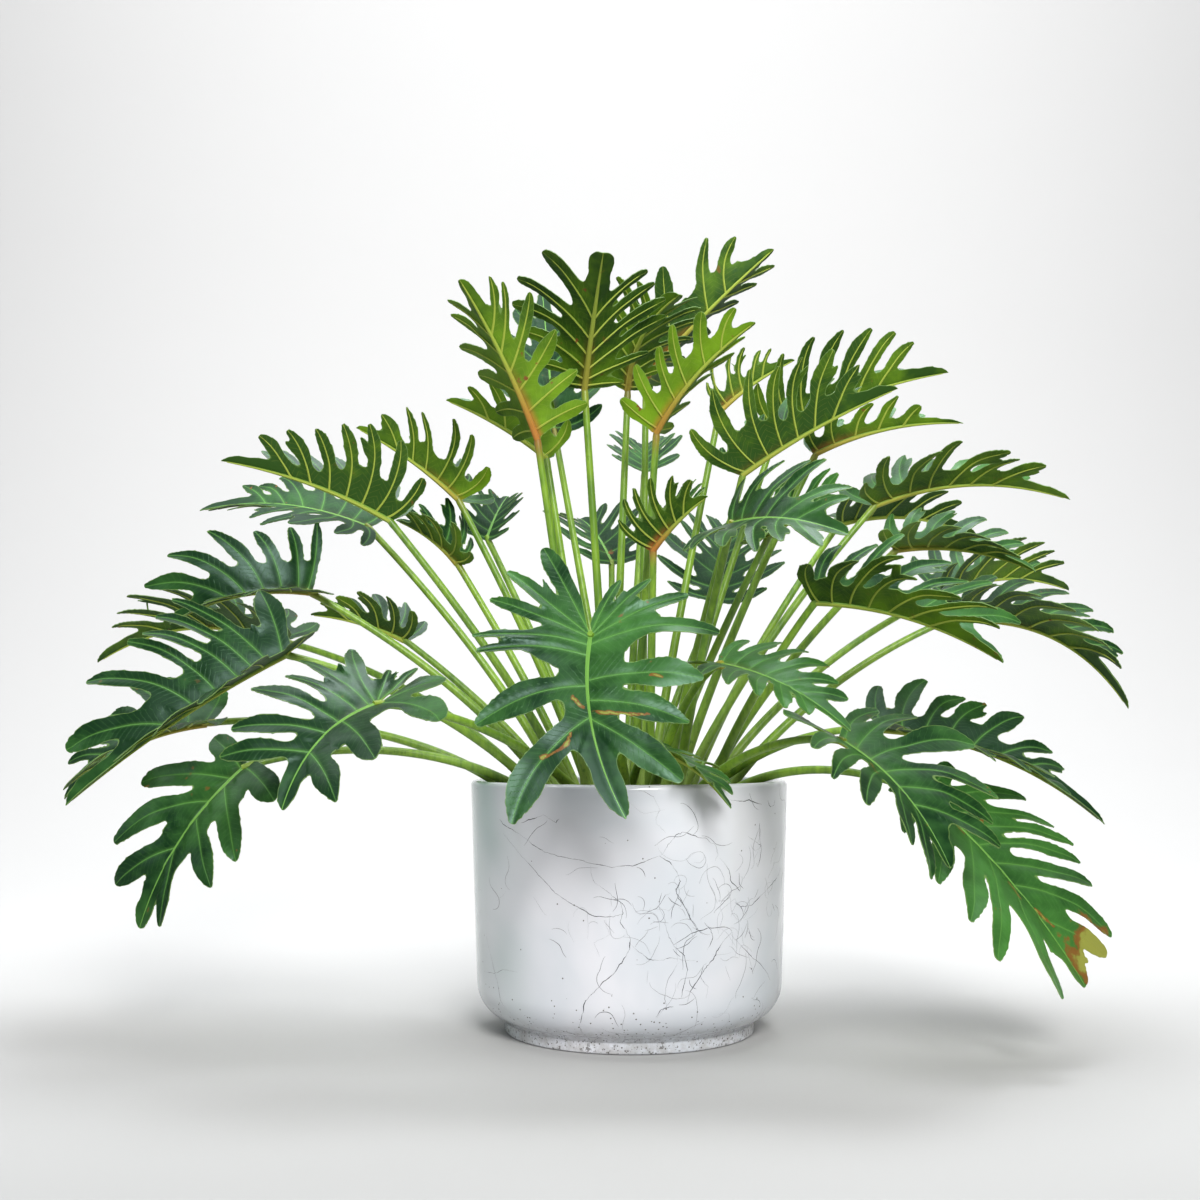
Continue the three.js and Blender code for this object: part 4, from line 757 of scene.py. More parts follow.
def bladePlace(leaf):  # from the flat to the leaf's place in space: folded, turned, swayed and arched
    s = leafShape
    joint, tip, faces = (np.array(leaf[key], float) for key in ("joint", "tip", "faces"))
    chord = tip - joint
    length = np.linalg.norm(chord)
    upright = faces - chord * (faces @ chord) / length ** 2
    upright = upright / np.linalg.norm(upright)
    top = (joint + tip) / 2 + upright * 2 * leaf["rise"]
    fold = math.radians(leaf["fold"])
    turn = math.radians(leaf["turn"] or 0.01) / leaf["half"]
    sway = leafCuts.get(leaf["name"], {}).get("sway", 0)

    def put(x, y, lift):
        part = np.clip(x / length, 0, 1)[:, None]
        point = (1 - part) ** 2 * joint + 2 * part * (1 - part) * top + part ** 2 * tip
        along = unit((1 - part) * (top - joint) + part * (tip - top))
        point = point + along * (x[:, None] - part * length)
        normal = unit(faces - along * (along @ faces)[:, None])
        sideways = np.cross(along, normal)
        point = point + 4 * sway * part * (1 - part) * sideways
        out = np.abs(y)
        angle = fold + turn * out
        across = (np.sin(angle) - math.sin(fold)) / turn * np.sign(y)
        above = (math.cos(fold) - np.cos(angle)) / turn
        rounded = math.sin(fold) * s["foldRound"] * (1 - np.exp(-out / s["foldRound"]))
        above = above - rounded * np.exp(-out / s["foldFade"])
        point = point + sideways * across[:, None] + normal * (above + lift)[:, None]
        face = normal * np.cos(angle)[:, None] - sideways * (np.sin(angle) * np.sign(y))[:, None]
        return point, face

    return put


def liftOf(leaf, number, x, y, nearest, part, across):  # each lobe rises, droops and twists on its own
    s = leafShape
    lift = np.zeros(len(x))
    for side in (1, -1):
        half = leaf["halves"][side]
        mine = y >= 0 if side > 0 else y < 0
        for i, lobe in enumerate(half["plan"]):
            at = mine & (nearest == i)
            t, off = part[at], across[at]
            twist = math.tan(math.radians(s["twist"] * unlike(i + side, number + 3)))
            cup = s["cup"] * (0.4 + 0.6 * unlike(i, number + side + 9))
            wide = half["wides"][i]
            rise = math.tan(math.radians(lobe["lift"])) * lobe["length"] * np.maximum(0, t - s["liftFrom"])
            droop = s["droop"] * lobe["length"] * np.maximum(0, t - s["droopFrom"]) ** 2
            bowl = twist * off + cup * np.minimum(s["cupMost"], np.abs(off) / wide) ** 2
            groove = s["groove"] * smooth(0.02, 0.15, t) * (1 - np.exp(-(off / s["grooveWide"]) ** 2))
            lift[at] = rise - droop + smooth(0.35, 0.7, t) * bowl + groove
    out = np.abs(y)
    ripple = np.sin(0.095 * x + number) * np.sin(0.080 * y + 2 * unlike(number, 2))
    wave = s["wave"] * smooth(s["waveFrom"], s["waveFull"], out) * ripple
    return lift + wave + s["ribGroove"] * (1 - np.exp(-(out / s["ribGrooveWide"]) ** 2))


def cutSheet(leaf, number):  # the flat leaf, cut out of a grid of even triangles
    cell = leafShape["cell"]
    paths = np.vstack([strip["path"] * (1, side) for side in (1, -1)
                       for strip in leaf["halves"][side]["strips"]])
    low, high = paths.min(0) - 16, paths.max(0) + 16  # room for the widest lobe all round
    rowStep = cell * math.sqrt(3) / 2
    firstRow, lastRow = math.floor(low[1] / rowStep), math.ceil(high[1] / rowStep)
    columns = math.ceil((high[0] - low[0]) / cell) + 1
    j, i = np.meshgrid(np.arange(firstRow, lastRow + 1), np.arange(columns), indexing="ij")
    grid = np.stack([low[0] + (i + 0.5 * (j % 2)) * cell, j * rowStep], -1).reshape(-1, 2)
    rows = lastRow - firstRow + 1
    a = (np.arange(rows - 1)[:, None] * columns + np.arange(columns - 1)).ravel()
    even = np.repeat((np.arange(firstRow, lastRow) % 2) == 0, columns - 1)
    b, c, d = a + 1, a + columns, a + columns + 1
    first = np.where(even[:, None], np.stack([a, b, c], 1), np.stack([a, b, d], 1))
    second = np.where(even[:, None], np.stack([b, d, c], 1), np.stack([a, d, c], 1))
    triangles = np.vstack([first, second])
    edge = flatLeaf(leaf, number, grid)["edge"]
    near = 0.12 * cell  # corners this near the edge count as inside, so that no triangle is a sliver
    edge = np.where(np.abs(edge) < near, -near, edge)
    inside = edge < 0
    held = inside[triangles].sum(1)  # how many corners of each triangle are inside
    total = len(grid)
    cuts, kept = [], [triangles[held == 3]]

    def cutAt(p, q):  # new points where the edge crosses from p to q
        cuts.append(np.stack([np.minimum(p, q), np.maximum(p, q)], 1))
        return total + sum(len(c) for c in cuts[:-1]) + np.arange(len(p))

    one = triangles[held == 1]
    turn = np.argmax(inside[one], 1)
    p, q, r = (one[np.arange(len(one)), (turn + k) % 3] for k in range(3))
    kept.append(np.stack([p, cutAt(p, q), cutAt(p, r)], 1))
    two = triangles[held == 2]
    turn = np.argmin(inside[two], 1)
    r, p, q = (two[np.arange(len(two)), (turn + k) % 3] for k in range(3))
    onQ, onP = cutAt(q, r), cutAt(p, r)
    kept.append(np.stack([p, q, onQ], 1))
    kept.append(np.stack([p, onQ, onP], 1))
    cuts = np.vstack(cuts)
    part = edge[cuts[:, 0]] / (edge[cuts[:, 0]] - edge[cuts[:, 1]])
    extra = grid[cuts[:, 0]] + part[:, None] * (grid[cuts[:, 1]] - grid[cuts[:, 0]])
    keys = cuts[:, 0] * np.int64(total) + cuts[:, 1]
    _, first, back = np.unique(keys, return_index=True, return_inverse=True)
    kept = np.vstack(kept)
    kept = np.where(kept >= total, total + back.ravel()[np.maximum(kept - total, 0)], kept)
    points = np.vstack([grid, extra[first]])
    used, kept = np.unique(kept, return_inverse=True)
    return points[used], kept.reshape(-1, 3)


def thickened(middle, sheet):  # a sheet of triangles given its thickness: upper face, under face and edge
    corner = middle[sheet]
    facing = np.cross(corner[:, 1] - corner[:, 0], corner[:, 2] - corner[:, 0])
    normals = np.zeros_like(middle)
    for k in range(3):
        np.add.at(normals, sheet[:, k], facing)
    half = unit(normals) * leafShape["thickness"] / 2
    count = len(middle)
    edges = np.vstack([sheet[:, [0, 1]], sheet[:, [1, 2]], sheet[:, [2, 0]]])
    code = edges[:, 0] * np.int64(count) + edges[:, 1]
    border = edges[~np.isin(code, edges[:, 1] * np.int64(count) + edges[:, 0])]
    p, q = border.T
    walls = np.vstack([np.stack([p, p + count, q + count], 1), np.stack([p, q + count, q], 1)])
    return np.vstack([middle + half, middle - half]), [sheet, turnOver(sheet) + count, walls]


def dryness(care, x, y):  # 0-1 at each point of the flat leaf
    dry = np.zeros(len(x))
    for along, out, size in care.get("dry", ()):
        apart = (x - along) ** 2 + (y - out) ** 2
        dry = np.maximum(dry, 1.15 * np.exp(-apart / (1.1 * size ** 2)))
    for line in care.get("tears", ()):
        for (a, b), (c, d) in zip(line, line[1:]):
            t = np.clip(((x - a) * (c - a) + (y - b) * (d - b)) / ((c - a) ** 2 + (d - b) ** 2), 0, 1)
            apart = (x - a - t * (c - a)) ** 2 + (y - b - t * (d - b)) ** 2
            dry = np.maximum(dry, 0.7 * np.exp(-apart / 2.0))
    return dry


def bladeBody(leaf, number):
    flat, sheet = cutSheet(leaf, number)
    look = flatLeaf(leaf, number, flat)
    every = np.arange(len(flat))
    x, y = flat.T
    near = look["nearest"]
    lift = liftOf(leaf, number, x, y, near, look["part"][every, near], look["across"][every, near])
    middle, _ = bladePlace(leaf)(x, y, lift)
    points, faces = thickened(middle, turnOver(sheet))
    triangles = np.vstack(faces)
    upper = np.concatenate([np.full(len(part), share) for part, share in zip(faces, (1.0, 0.0, 0.5))])

    # each triangle reads the one vein that its middle belongs to
    flatTriangles = np.where(triangles >= len(flat), triangles - len(flat), triangles)
    centres = flat[flatTriangles].mean(1)
    owner = flatLeaf(leaf, number, centres)["nearest"]
    part = look["part"][flatTriangles, owner[:, None]]
    across = look["across"][flatTriangles, owner[:, None]]
    across = np.where((owner == -1)[:, None], leafShape["veinless"], across)  # the tip has the midrib alone
    lengths = np.zeros((2, look["part"].shape[1]))
    for i, side in enumerate((1, -1)):
        plan = leaf["halves"][side]["plan"]
        lengths[i, :len(plan)] = [lobe["length"] for lobe in plan]
    run = part * lengths[np.where(centres[:, 1] >= 0, 0, 1), owner][:, None]

    values = {"ribAcross": y, "ribPart": np.clip(x / leaf["halves"][1]["length"], 0, 1),
              "fromEdge": -look["edge"], "dry": dryness(leafCare.get(leaf["name"], {}), x, y)}
    values = {key: np.tile(found, 2) for key, found in values.items()}  # both faces alike
    corners = {"veinAcross": across, "veinPart": part, "veinRun": run, "upper": np.repeat(upper, 3)}
    return points, triangles, values, corners


def veinTubes(leaf, number):  # the midrib and the lobes' veins, as low cords on the blade
    s = leafShape
    put = bladePlace(leaf)
    length = leaf["halves"][1]["length"]
    tubes = []

    def addTube(x, y, lobe, t, radii, sunk, sides):
        lift = liftOf(leaf, number, x, y, np.full(len(x), lobe), t, 0 * t)
        centre, face = put(x, y, lift)
        tube, faces, ring = tubeRings(centre - face * (sunk * radii)[:, None], radii, face, sides)
        high = np.sin(faces.ravel() % sides * 2 * math.pi / sides) > 0.3  # the side on the upper face
        values = {"ribPart": np.clip(x / length, 0, 1)[ring], "ribAcross": y[ring],
                  "fromEdge": 9.0, "stalkPart": 1.0}
        tubes.append((tube, faces, values, high.astype(float)))

    x = np.linspace(-2, length * s["ribEnd"], s["ribSteps"])
    part = np.clip(x / length, 0, 1)
    radii = s["ribRadius"] * (1 - part) ** 0.75 + s["ribThinnest"]
    addTube(x, 0 * x, -1, part, radii, s["ribSunk"], s["ribSides"])  # the midrib is in no lobe
    t = np.linspace(0.0, s["veinEnd"], s["veinSteps"])
    radii = s["veinRadius"] * (1 - t) ** 0.8 + s["veinThinnest"]
    for side in (1, -1):
        for i, lobe in enumerate(leaf["halves"][side]["plan"]):
            x, y = lobeMiddle(lobe, length, t).T
            y = np.where(y == 0, 1e-6, y) * side  # never quite 0, so that it stays in its own half
            addTube(x, y, i, t, radii, s["veinSunk"], s["veinSides"])
    return tubes


def stalkBody(leaf):  # from the crown's spiral in one arch up to the blade
    s = stalkShape
    radius = s["crownStep"] * math.sqrt(leaf["place"] + s["crownStart"])
    angle = math.radians(s["goldenAngle"]) * leaf["place"]
    foot = np.array([radius * math.cos(angle), radius * math.sin(angle), s["soilTop"] - s["depth"]])
    joint = np.array(leaf["joint"], float)
    outward = joint - foot
    length = np.linalg.norm(outward)
    low = foot + s["lowAt"] * outward + (0, 0, length * (s["lift"] + leaf["bow"]))
    high = foot + s["highAt"] * outward + (0, 0, length * leaf["bow"])
    end = joint + s["overrun"] * unit(joint - high)
    t = np.linspace(0, 1, s["rings"])
    shares = ((1 - t) ** 3, 3 * t * (1 - t) ** 2, 3 * t ** 2 * (1 - t), t ** 3)
    centres = sum(share[:, None] * stop for share, stop in zip(shares, (foot, low, high, end)))
    radii = s["topRadius"] + (s["footRadius"] - s["topRadius"]) * (1 - t) ** s["taper"]
    knee = np.exp(-((t - s["kneeAt"]) / s["kneeLong"]) ** 2)
    radii = radii * (1 + s["kneeSwell"] * knee)
    radii[-1] *= s["endNarrow"]
    points, triangles, ring = tubeRings(centres, radii, np.array(s["upward"]), s["sides"])
    return points, triangles, t[ring]


def makeLeaf(leaf, number):  # blade, veins and stalk as one piece
    leaf["halves"] = {side: halfPlan(leaf, number, side) for side in (1, -1)}
    care = leafCare.get(leaf["name"], {})
    points, triangles, values, corners = bladeBody(leaf, number)
    values["stalkPart"] = np.ones(len(points))
    bodies, slots = [(points, triangles)], [np.zeros(len(triangles), int)]
    values = {key: [found] for key, found in values.items()}
    corners = {key: [np.ravel(found)] for key, found in corners.items()}

    def join(points, triangles, slot, given, upper=0.0):
        bodies.append((points, triangles))
        slots.append(np.full(len(triangles), slot))
        for key, found in values.items():
            found.append(np.broadcast_to(given.get(key, 0.0), len(points)))
        for key, found in corners.items():
            found.append(np.broadcast_to(upper if key == "upper" else 0.0, 3 * len(triangles)))

    for tube, faces, given, upper in veinTubes(leaf, number):
        join(tube, faces, 0, given, upper)
    tube, faces, stalkPart = stalkBody(leaf)
    join(tube, faces, 1, {"stalkPart": stalkPart, "fromEdge": 9.0})
    points, triangles = merged(bodies)
    values = {key: np.concatenate(found) for key, found in values.items()}
    values["tint"] = np.full(len(points), care.get("tint", 0.7 * unlike(number, 4)))
    values["blush"] = np.full(len(points), care.get("blush", 0.25 + 0.25 * unlike(number, 11)))
    corners = {key: np.concatenate(found) for key, found in corners.items()}
    piece = addMesh(leaf["name"] + "_grown", points, triangles, leafMaterials,
                    np.concatenate(slots), 45, values, corners)
    return seat(piece, leaf["name"])


triangleTotal = 0
for number, leaf in enumerate(leaves):
    piece = makeLeaf(leaf, number)
    triangleTotal += len(piece.data.polygons)
print("leaves grown:", len(leaves), "with", triangleTotal, "triangles")


# the pot

potShape = {
    "rimRadius": 150, "height": 232, "footRadius": 117, "footHeight": 10, "footRound": 2.0,
    "groove": 1.6, "wall": 9, "corner": 34, "cornerStart": 2, "taper": 7, "sides": 160,
}
potFinish = {
    "glaze": (0.680, 0.680, 0.720), "cloud": (0.560, 0.590, 0.635), "cloudScale": 7,
    # the first colour on the next line is painted greenish reflection and shade for the pot's left side
    "paintedLeftReflection": (0.300, 0.410, 0.390), "paintedLeftReflectionShare": 0.90,
    "crack": (0.022, 0.022, 0.030), "faintCrack": (0.300, 0.305, 0.340), "crackRough": 0.5,
    "speck": (0.070, 0.060, 0.050), "speckScale": 300, "speckSize": 0.22, "speckShare": 0.85,
    # the first colour on the next line darkens the glaze towards the foot
    "footDarkening": (0.300, 0.285, 0.270), "footDarkeningScale": 90, "footDarkeningShare": 0.55,
    "gritScale": 330, "gritShare": 0.75,
    "rough": 0.16, "coat": 0.3, "coatRough": 0.06, "relief": 0.25, "reliefDepth": 0.0012,
}
# hair cracks in the glaze: width, then angle from the front (+ to the right) and height along each,
# in millimetres and degrees
potCracks = [
    (0.42, (-52, 200), (-48, 194), (-37, 183), (-31, 174), (-21, 170), (-15, 166), (-7, 163), (0, 164),
     (9, 172)),
    (0.45, (-50, 188), (-43, 174), (-35, 157), (-29, 145), (-25, 136), (-18, 126), (-12, 121), (-6, 121),
     (-3, 124)),
    (0.40, (9, 172), (12, 182), (15, 190), (17, 193), (21, 189), (25, 186), (29, 180), (30, 170), (29, 167)),
    (0.55, (9, 172), (13, 166), (15, 158), (16, 150), (15, 141), (16, 134), (19, 127), (20, 116)),
    (0.60, (-7, 139), (-4, 134), (-3, 124), (-4, 116), (-2, 109), (-1, 103), (-1, 94), (-3, 84), (-7, 73),
     (-12, 60), (-15, 52)),
    (0.55, (-15, 53), (-17, 44), (-18, 35), (-19, 26), (-19, 18)),
    (0.30, (-14, 165), (-14, 154), (-11, 146), (-7, 139)),
    (0.38, (-1, 99), (2, 92), (5, 85), (11, 84), (16, 85), (22, 83)),
    (0.45, (10, 141), (9, 129), (11, 116), (12, 105), (14, 96), (18, 87), (19, 75), (18, 62), (17, 52)),
    (0.50, (14, 97), (20, 105), (27, 110), (29, 101), (26, 91)),
    (0.55, (37, 104), (32, 94), (30, 88), (27, 79), (25, 73), (21, 60), (19, 47)),
    (0.40, (36, 103), (40, 94), (44, 86), (50, 77), (58, 62), (61, 55)),
    (0.60, (31, 169), (35, 158), (36, 148), (40, 139), (41, 143)),
    (0.60, (38, 133), (41, 125), (47, 126), (53, 134), (63, 144), (69, 152)),
    (0.55, (50, 197), (50, 186), (52, 173), (50, 159), (49, 161)),
    (0.55, (33, 220), (38, 216), (44, 217), (51, 213)),
    (0.60, (55, 216), (57, 210), (60, 212), (61, 216)),
    (0.42, (-64, 94), (-60, 75), (-56, 56), (-54, 41), (-50, 30)),
    (0.34, (-68, 61), (-58, 61), (-52, 68), (-44, 68)),
    (0.55, (-40, 198), (-35, 201), (-31, 206), (-26, 200), (-25, 203)),
    (0.42, (16, 82), (12, 67), (11, 52), (12, 45)),
    (0.30, (2, 226), (7, 222), (9, 210), (8, 199), (11, 192)),
    (0.50, (8, 37), (10, 43), (14, 45)),
    (0.45, (-29, 22), (-20, 16), (-7, 14), (3, 14), (16, 18), (26, 30)),
    (0.50, (25, 78), (24, 68), (27, 60), (26, 50)),
    (0.40, (2, 122), (8, 128), (11, 138), (13, 141)),
    (0.34, (-9, 118), (-8, 106), (-13, 98), (-11, 86)),
    (0.30, (45, 178), (48, 172), (52, 176), (47, 182), (44, 186)),
]
potHairs = {
    "seed": 4, "count": 170, "steps": 20, "step": 2.3, "curl": 15, "width": 0.36,
    "middle": 30, "spread": 26, "rightShare": 0.72, "height": 112, "heightSpread": 46,
    "startLowest": 22, "startHighest": 218, "lowest": 20, "highest": 226, "wallRadius": 145,
}
crackLook = {
    "above": 0.07, "edge": 0.02, "below": 0.3, "inkGain": 2.2, "inkLess": 0.10, "steps": 7,
    "waverUp": 0.60, "waverRound": 0.24, "strength": 0.85, "strengthUneven": 0.45,
}


def arc(centre, height, radius, start, end, steps):
    angles = np.radians(np.linspace(start, end, steps + 1))
    return [(centre + radius * math.cos(a), height + radius * math.sin(a)) for a in angles]


def turned(profile, sides):  # a closed round body; the profile starts and ends on the axis
    profile = np.array(profile, float)
    inner = profile[1:-1]
    angles = np.arange(sides) * 2 * math.pi / sides
    points = np.stack([inner[:, None, 0] * np.cos(angles), inner[:, None, 0] * np.sin(angles),
                       np.repeat(inner[:, 1:2], sides, 1)], -1).reshape(-1, 3)
    points = np.vstack([points, (0, 0, profile[0, 1]), (0, 0, profile[-1, 1])])
    rows = len(inner)
    triangles = [turnOver(fan(0, rows * sides, sides))]
    for i in range(rows - 1):
        triangles += band(i * sides, (i + 1) * sides, sides)
    triangles.append(fan((rows - 1) * sides, rows * sides + 1, sides))
    return points, np.vstack(triangles)


def cornerTop():  # where the pot's low rounding meets its wall
    return potShape["footHeight"] + potShape["cornerStart"] + potShape["corner"]


def wallRadius(height):
    s = potShape
    part = np.clip((height - cornerTop()) / (s["height"] - s["wall"] / 2 - cornerTop()), 0, 1)
    return s["rimRadius"] - s["taper"] * (1 - part)


def makePotMaterial():
    v = potFinish
    material, tree, shader = newMaterial("potGlaze")
    here = place(tree)
    split = tree.nodes.new("ShaderNodeSeparateXYZ")
    tree.links.new(here, split.inputs[0])
    sideways, height = split.outputs[0], split.outputs[2]
    broad = cloud(tree, here, v["cloudScale"], 3, 0.5, 0.6)
    colour = blend(tree, ease(tree, broad, 0.35, 0.70), v["glaze"], v["cloud"])
    left = ease(tree, sideways, -0.070, -0.142)  # painted greenish reflection and shade on the left side of the glaze, broken into clouds
    left = times(tree, left, ease(tree, cloud(tree, here, 5, 2), 0.25, 0.55))
    colour = layOver(tree, colour, left, v["paintedLeftReflectionShare"], v["paintedLeftReflection"])

    # grey-brown darkening and grit near the foot, and dark specks, thick near the foot and thin above
    cells = tree.nodes.new("ShaderNodeTexVoronoi")
    cells.inputs["Scale"].default_value = v["speckScale"]
    tree.links.new(here, cells.inputs["Vector"])
    drawn = sums(tree, "FRACT", times(tree, cells.outputs["Color"], 7.31))
    chosen = sums(tree, "LESS_THAN", drawn, ease(tree, height, 0.062, 0.003, 0.012, 0.50))
    speck = times(tree, sums(tree, "LESS_THAN", cells.outputs["Distance"], v["speckSize"]), chosen)
    # the glaze turns grey-brown towards the foot, in patches
    footDarkening = times(tree, ease(tree, height, 0.030, 0.008),
                  ease(tree, cloud(tree, here, v["footDarkeningScale"], 4, 0.7), 0.35, 0.65))
    grit = times(tree, ease(tree, cloud(tree, here, v["gritScale"], 3, 0.6), 0.57, 0.62),
                 ease(tree, height, 0.024, 0.004))
    colour = layOver(tree, colour, footDarkening, v["footDarkeningShare"], v["footDarkening"])
    colour = layOver(tree, colour, speck, v["speckShare"], v["speck"])
    colour = layOver(tree, colour, grit, v["gritShare"], v["speck"])
    tree.links.new(colour, shader.inputs["Base Color"])
    shader.inputs["Roughness"].default_value = v["rough"]
    shader.inputs["Coat Weight"].default_value = v["coat"]
    shader.inputs["Coat Roughness"].default_value = v["coatRough"]
    relief(tree, shader, cloud(tree, here, 16, 2), v["relief"], v["reliefDepth"])
    return material


def makeCrackMaterial():
    v = potFinish
    material, tree, shader = newMaterial("potCracks")
    tree.links.new(blend(tree, layer(tree, "ink"), v["faintCrack"], v["crack"]), shader.inputs["Base Color"])
    shader.inputs["Roughness"].default_value = v["crackRough"]
    return material


def glazeRadius(height):  # the pot's outside, down to the foot
    s = potShape
    low = cornerTop()
    drop = np.clip(1 - ((low - height) / s["corner"]) ** 2, 0, 1)
    curved = s["rimRadius"] - s["taper"] - s["corner"] * (1 - np.sqrt(drop))
    return np.where(height < low, curved, wallRadius(height))


def crackLine(angles, heights, widths):  # a thin closed sliver on the glaze, darker where it is wider
    c = crackLook
    sine, cosine = np.sin(np.radians(angles)), np.cos(np.radians(angles))
    radius = glazeRadius(heights)
    centre = np.stack([radius * sine, -radius * cosine, heights], -1)
    along = unit(np.gradient(centre, axis=0))
    wider = (glazeRadius(heights + 0.5) - radius) * 2  # for each millimetre up
    slope = np.stack([wider * sine, wider * -cosine, np.ones(len(radius))], -1)
    outward = unit(np.cross(np.stack([cosine, sine, 0 * sine], -1), slope))
    aside = np.cross(along, outward) * widths[:, None] / 2
    ring = np.stack([centre + aside - c["edge"] * outward, centre + c["above"] * outward,
                     centre - aside - c["edge"] * outward, centre - c["below"] * outward], 1)
    triangles = []
    for i in range(len(centre) - 1):
        for k in range(4):
            a, b = 4 * i + k, 4 * i + (k + 1) % 4
            triangles += [(a, b, b + 4), (a, b + 4, a + 4)]
    last = 4 * (len(centre) - 1)
    triangles += [(0, 2, 1), (0, 3, 2), (last, last + 1, last + 2), (last, last + 2, last + 3)]
    ink = np.clip(c["inkGain"] * widths - c["inkLess"], 0, 1)
    return ring.reshape(-1, 3), np.array(triangles), np.repeat(ink, 4)


def wander(random, count):  # slow random change along a line, mostly -1 to 1
    return np.convolve(random.normal(0, 1, count + 4), np.ones(5) / 5, "valid") * 2


def glazeCracks():
    c, v = crackLook, potHairs
    random = np.random.default_rng(v["seed"])
    found = []
    for width, *stops in potCracks:
        stops = np.array(stops, float)
        t = np.linspace(0, len(stops) - 1, c["steps"] * (len(stops) - 1) + 1)
        angles, heights = (np.interp(t, np.arange(len(stops)), stops[:, k]) for k in (0, 1))
        heights = heights + c["waverUp"] * wander(random, len(t))
        angles = angles + c["waverRound"] * wander(random, len(t))
        ends = np.minimum(1, 0.35 + np.minimum(t, t[-1] - t))
        strength = np.clip(c["strength"] + c["strengthUneven"] * wander(random, len(t)), 0.35, 1.6)
        found.append(crackLine(angles, heights, width * (strength * ends)))
    for _ in range(v["count"]):  # fine loose hairs, most of them right of the middle
        near = random.uniform() < v["rightShare"]
        angle = random.normal(v["middle"], v["spread"]) if near else random.uniform(-180, 180)
        height = random.normal(v["height"], v["heightSpread"])
        height = min(v["startHighest"], max(v["startLowest"], height))
        heading, turn = random.uniform(0, 360), random.normal(0, v["curl"] / 3)
        points = [(angle, height)]
        for _ in range(int(random.integers(4, v["steps"]))):
            turn = 0.8 * turn + random.normal(0, v["curl"] / 2)
            heading += turn
            height += v["step"] * math.sin(math.radians(heading))
            height = min(v["highest"], max(v["lowest"], height))
            angle += math.degrees(v["step"] * math.cos(math.radians(heading)) / v["wallRadius"])
            points.append((angle, height))
        points = np.array(points)
        wide = v["width"] * random.uniform(0.4, 1.6) * np.sin(np.linspace(0.5, 2.6, len(points)))
        found.append(crackLine(points[:, 0], points[:, 1], wide))
    return found


def makePot():
    s = potShape
    centre = s["rimRadius"] - s["taper"] - s["corner"]
    low, lip, foot = cornerTop(), s["wall"] / 2, s["footRound"]
    profile = [(0, 0), (s["footRadius"] - 30, 0), (s["footRadius"] - 2.5, 0)]
    profile += arc(s["footRadius"] - foot, foot, foot, -90, 0, 5)
    profile += [(s["footRadius"], s["footHeight"] - 1.2)]
    profile += arc(s["footRadius"] + s["groove"], s["footHeight"] - 0.6, s["groove"], 180, 100, 4)
    profile += arc(centre, low, s["corner"], -69, 0, 18)
    for height in np.linspace(low, s["height"] - lip, 14)[1:-1]:
        profile.append((wallRadius(height), height))
    profile += arc(s["rimRadius"] - lip, s["height"] - lip, lip, 0, 180, 14)
    for height in np.linspace(s["height"] - lip, low, 10)[1:-1]:
        profile.append((wallRadius(height) - s["wall"], height))
    profile += arc(centre, low, s["corner"] - s["wall"], 0, -70, 8)
    profile += [(0, s["footHeight"] + s["wall"])]
    points, triangles = turned(profile, s["sides"])
    bodies = [(points, triangles, np.zeros(len(points)))] + glazeCracks()
    slots = [np.full(len(body[1]), min(1, i)) for i, body in enumerate(bodies)]
    ink = np.concatenate([body[2] for body in bodies])
    piece = addMesh("pot_glazed", *merged(bodies), [makePotMaterial(), makeCrackMaterial()],
                    np.concatenate(slots), 60, {"ink": ink})
    return seat(piece, "pot")


makePot()
print("pot turned")


# the soil: potting mix with bark crumbs, and the short crown stem

soilShape = {
    "top": 204, "dome": 5, "depth": 40, "clear": 1.2, "rough": 2.6, "grit": 0.45, "crumbs": 420,
    "crumbSmall": 1.6, "crumbLarge": 4.6, "rings": 46, "sides": 150, "seed": 11,
}
soilFinish = {
    "dark": (0.016, 0.011, 0.008), "light": (0.075, 0.050, 0.032), "rough": 0.95,
    "grainScale": 160, "lumpScale": 42, "relief": 0.9, "reliefDepth": 0.002,
}
stemShape = {"radius": 10, "top": 226, "depth": 28, "scar": 0.5, "rings": 34, "sides": 40}
stemFinish = {
    "green": (0.130, 0.170, 0.050), "brown": (0.120, 0.075, 0.035), "rough": 0.75,
    "scale": 55, "relief": 0.6, "reliefDepth": 0.0015,
}


def makeSoilMaterial():
    v = soilFinish
    material, tree, shader = newMaterial("pottingMix")
    here = place(tree)
    grain = cloud(tree, here, v["grainScale"], 6, 0.7)
    lump = cloud(tree, here, v["lumpScale"], 3)
    part = sums(tree, "MULTIPLY_ADD", grain, 0.75, times(tree, lump, 0.45))
    colour = blend(tree, ease(tree, part, 0.45, 0.80), v["dark"], v["light"])
    tree.links.new(colour, shader.inputs["Base Color"])
    shader.inputs["Roughness"].default_value = v["rough"]
    relief(tree, shader, sums(tree, "ADD", grain, lump), v["relief"], v["reliefDepth"])
    return material


def domeHeight(distance, edge):
    return soilShape["top"] + soilShape["dome"] * (1 - smooth(0.5 * edge, edge, distance))


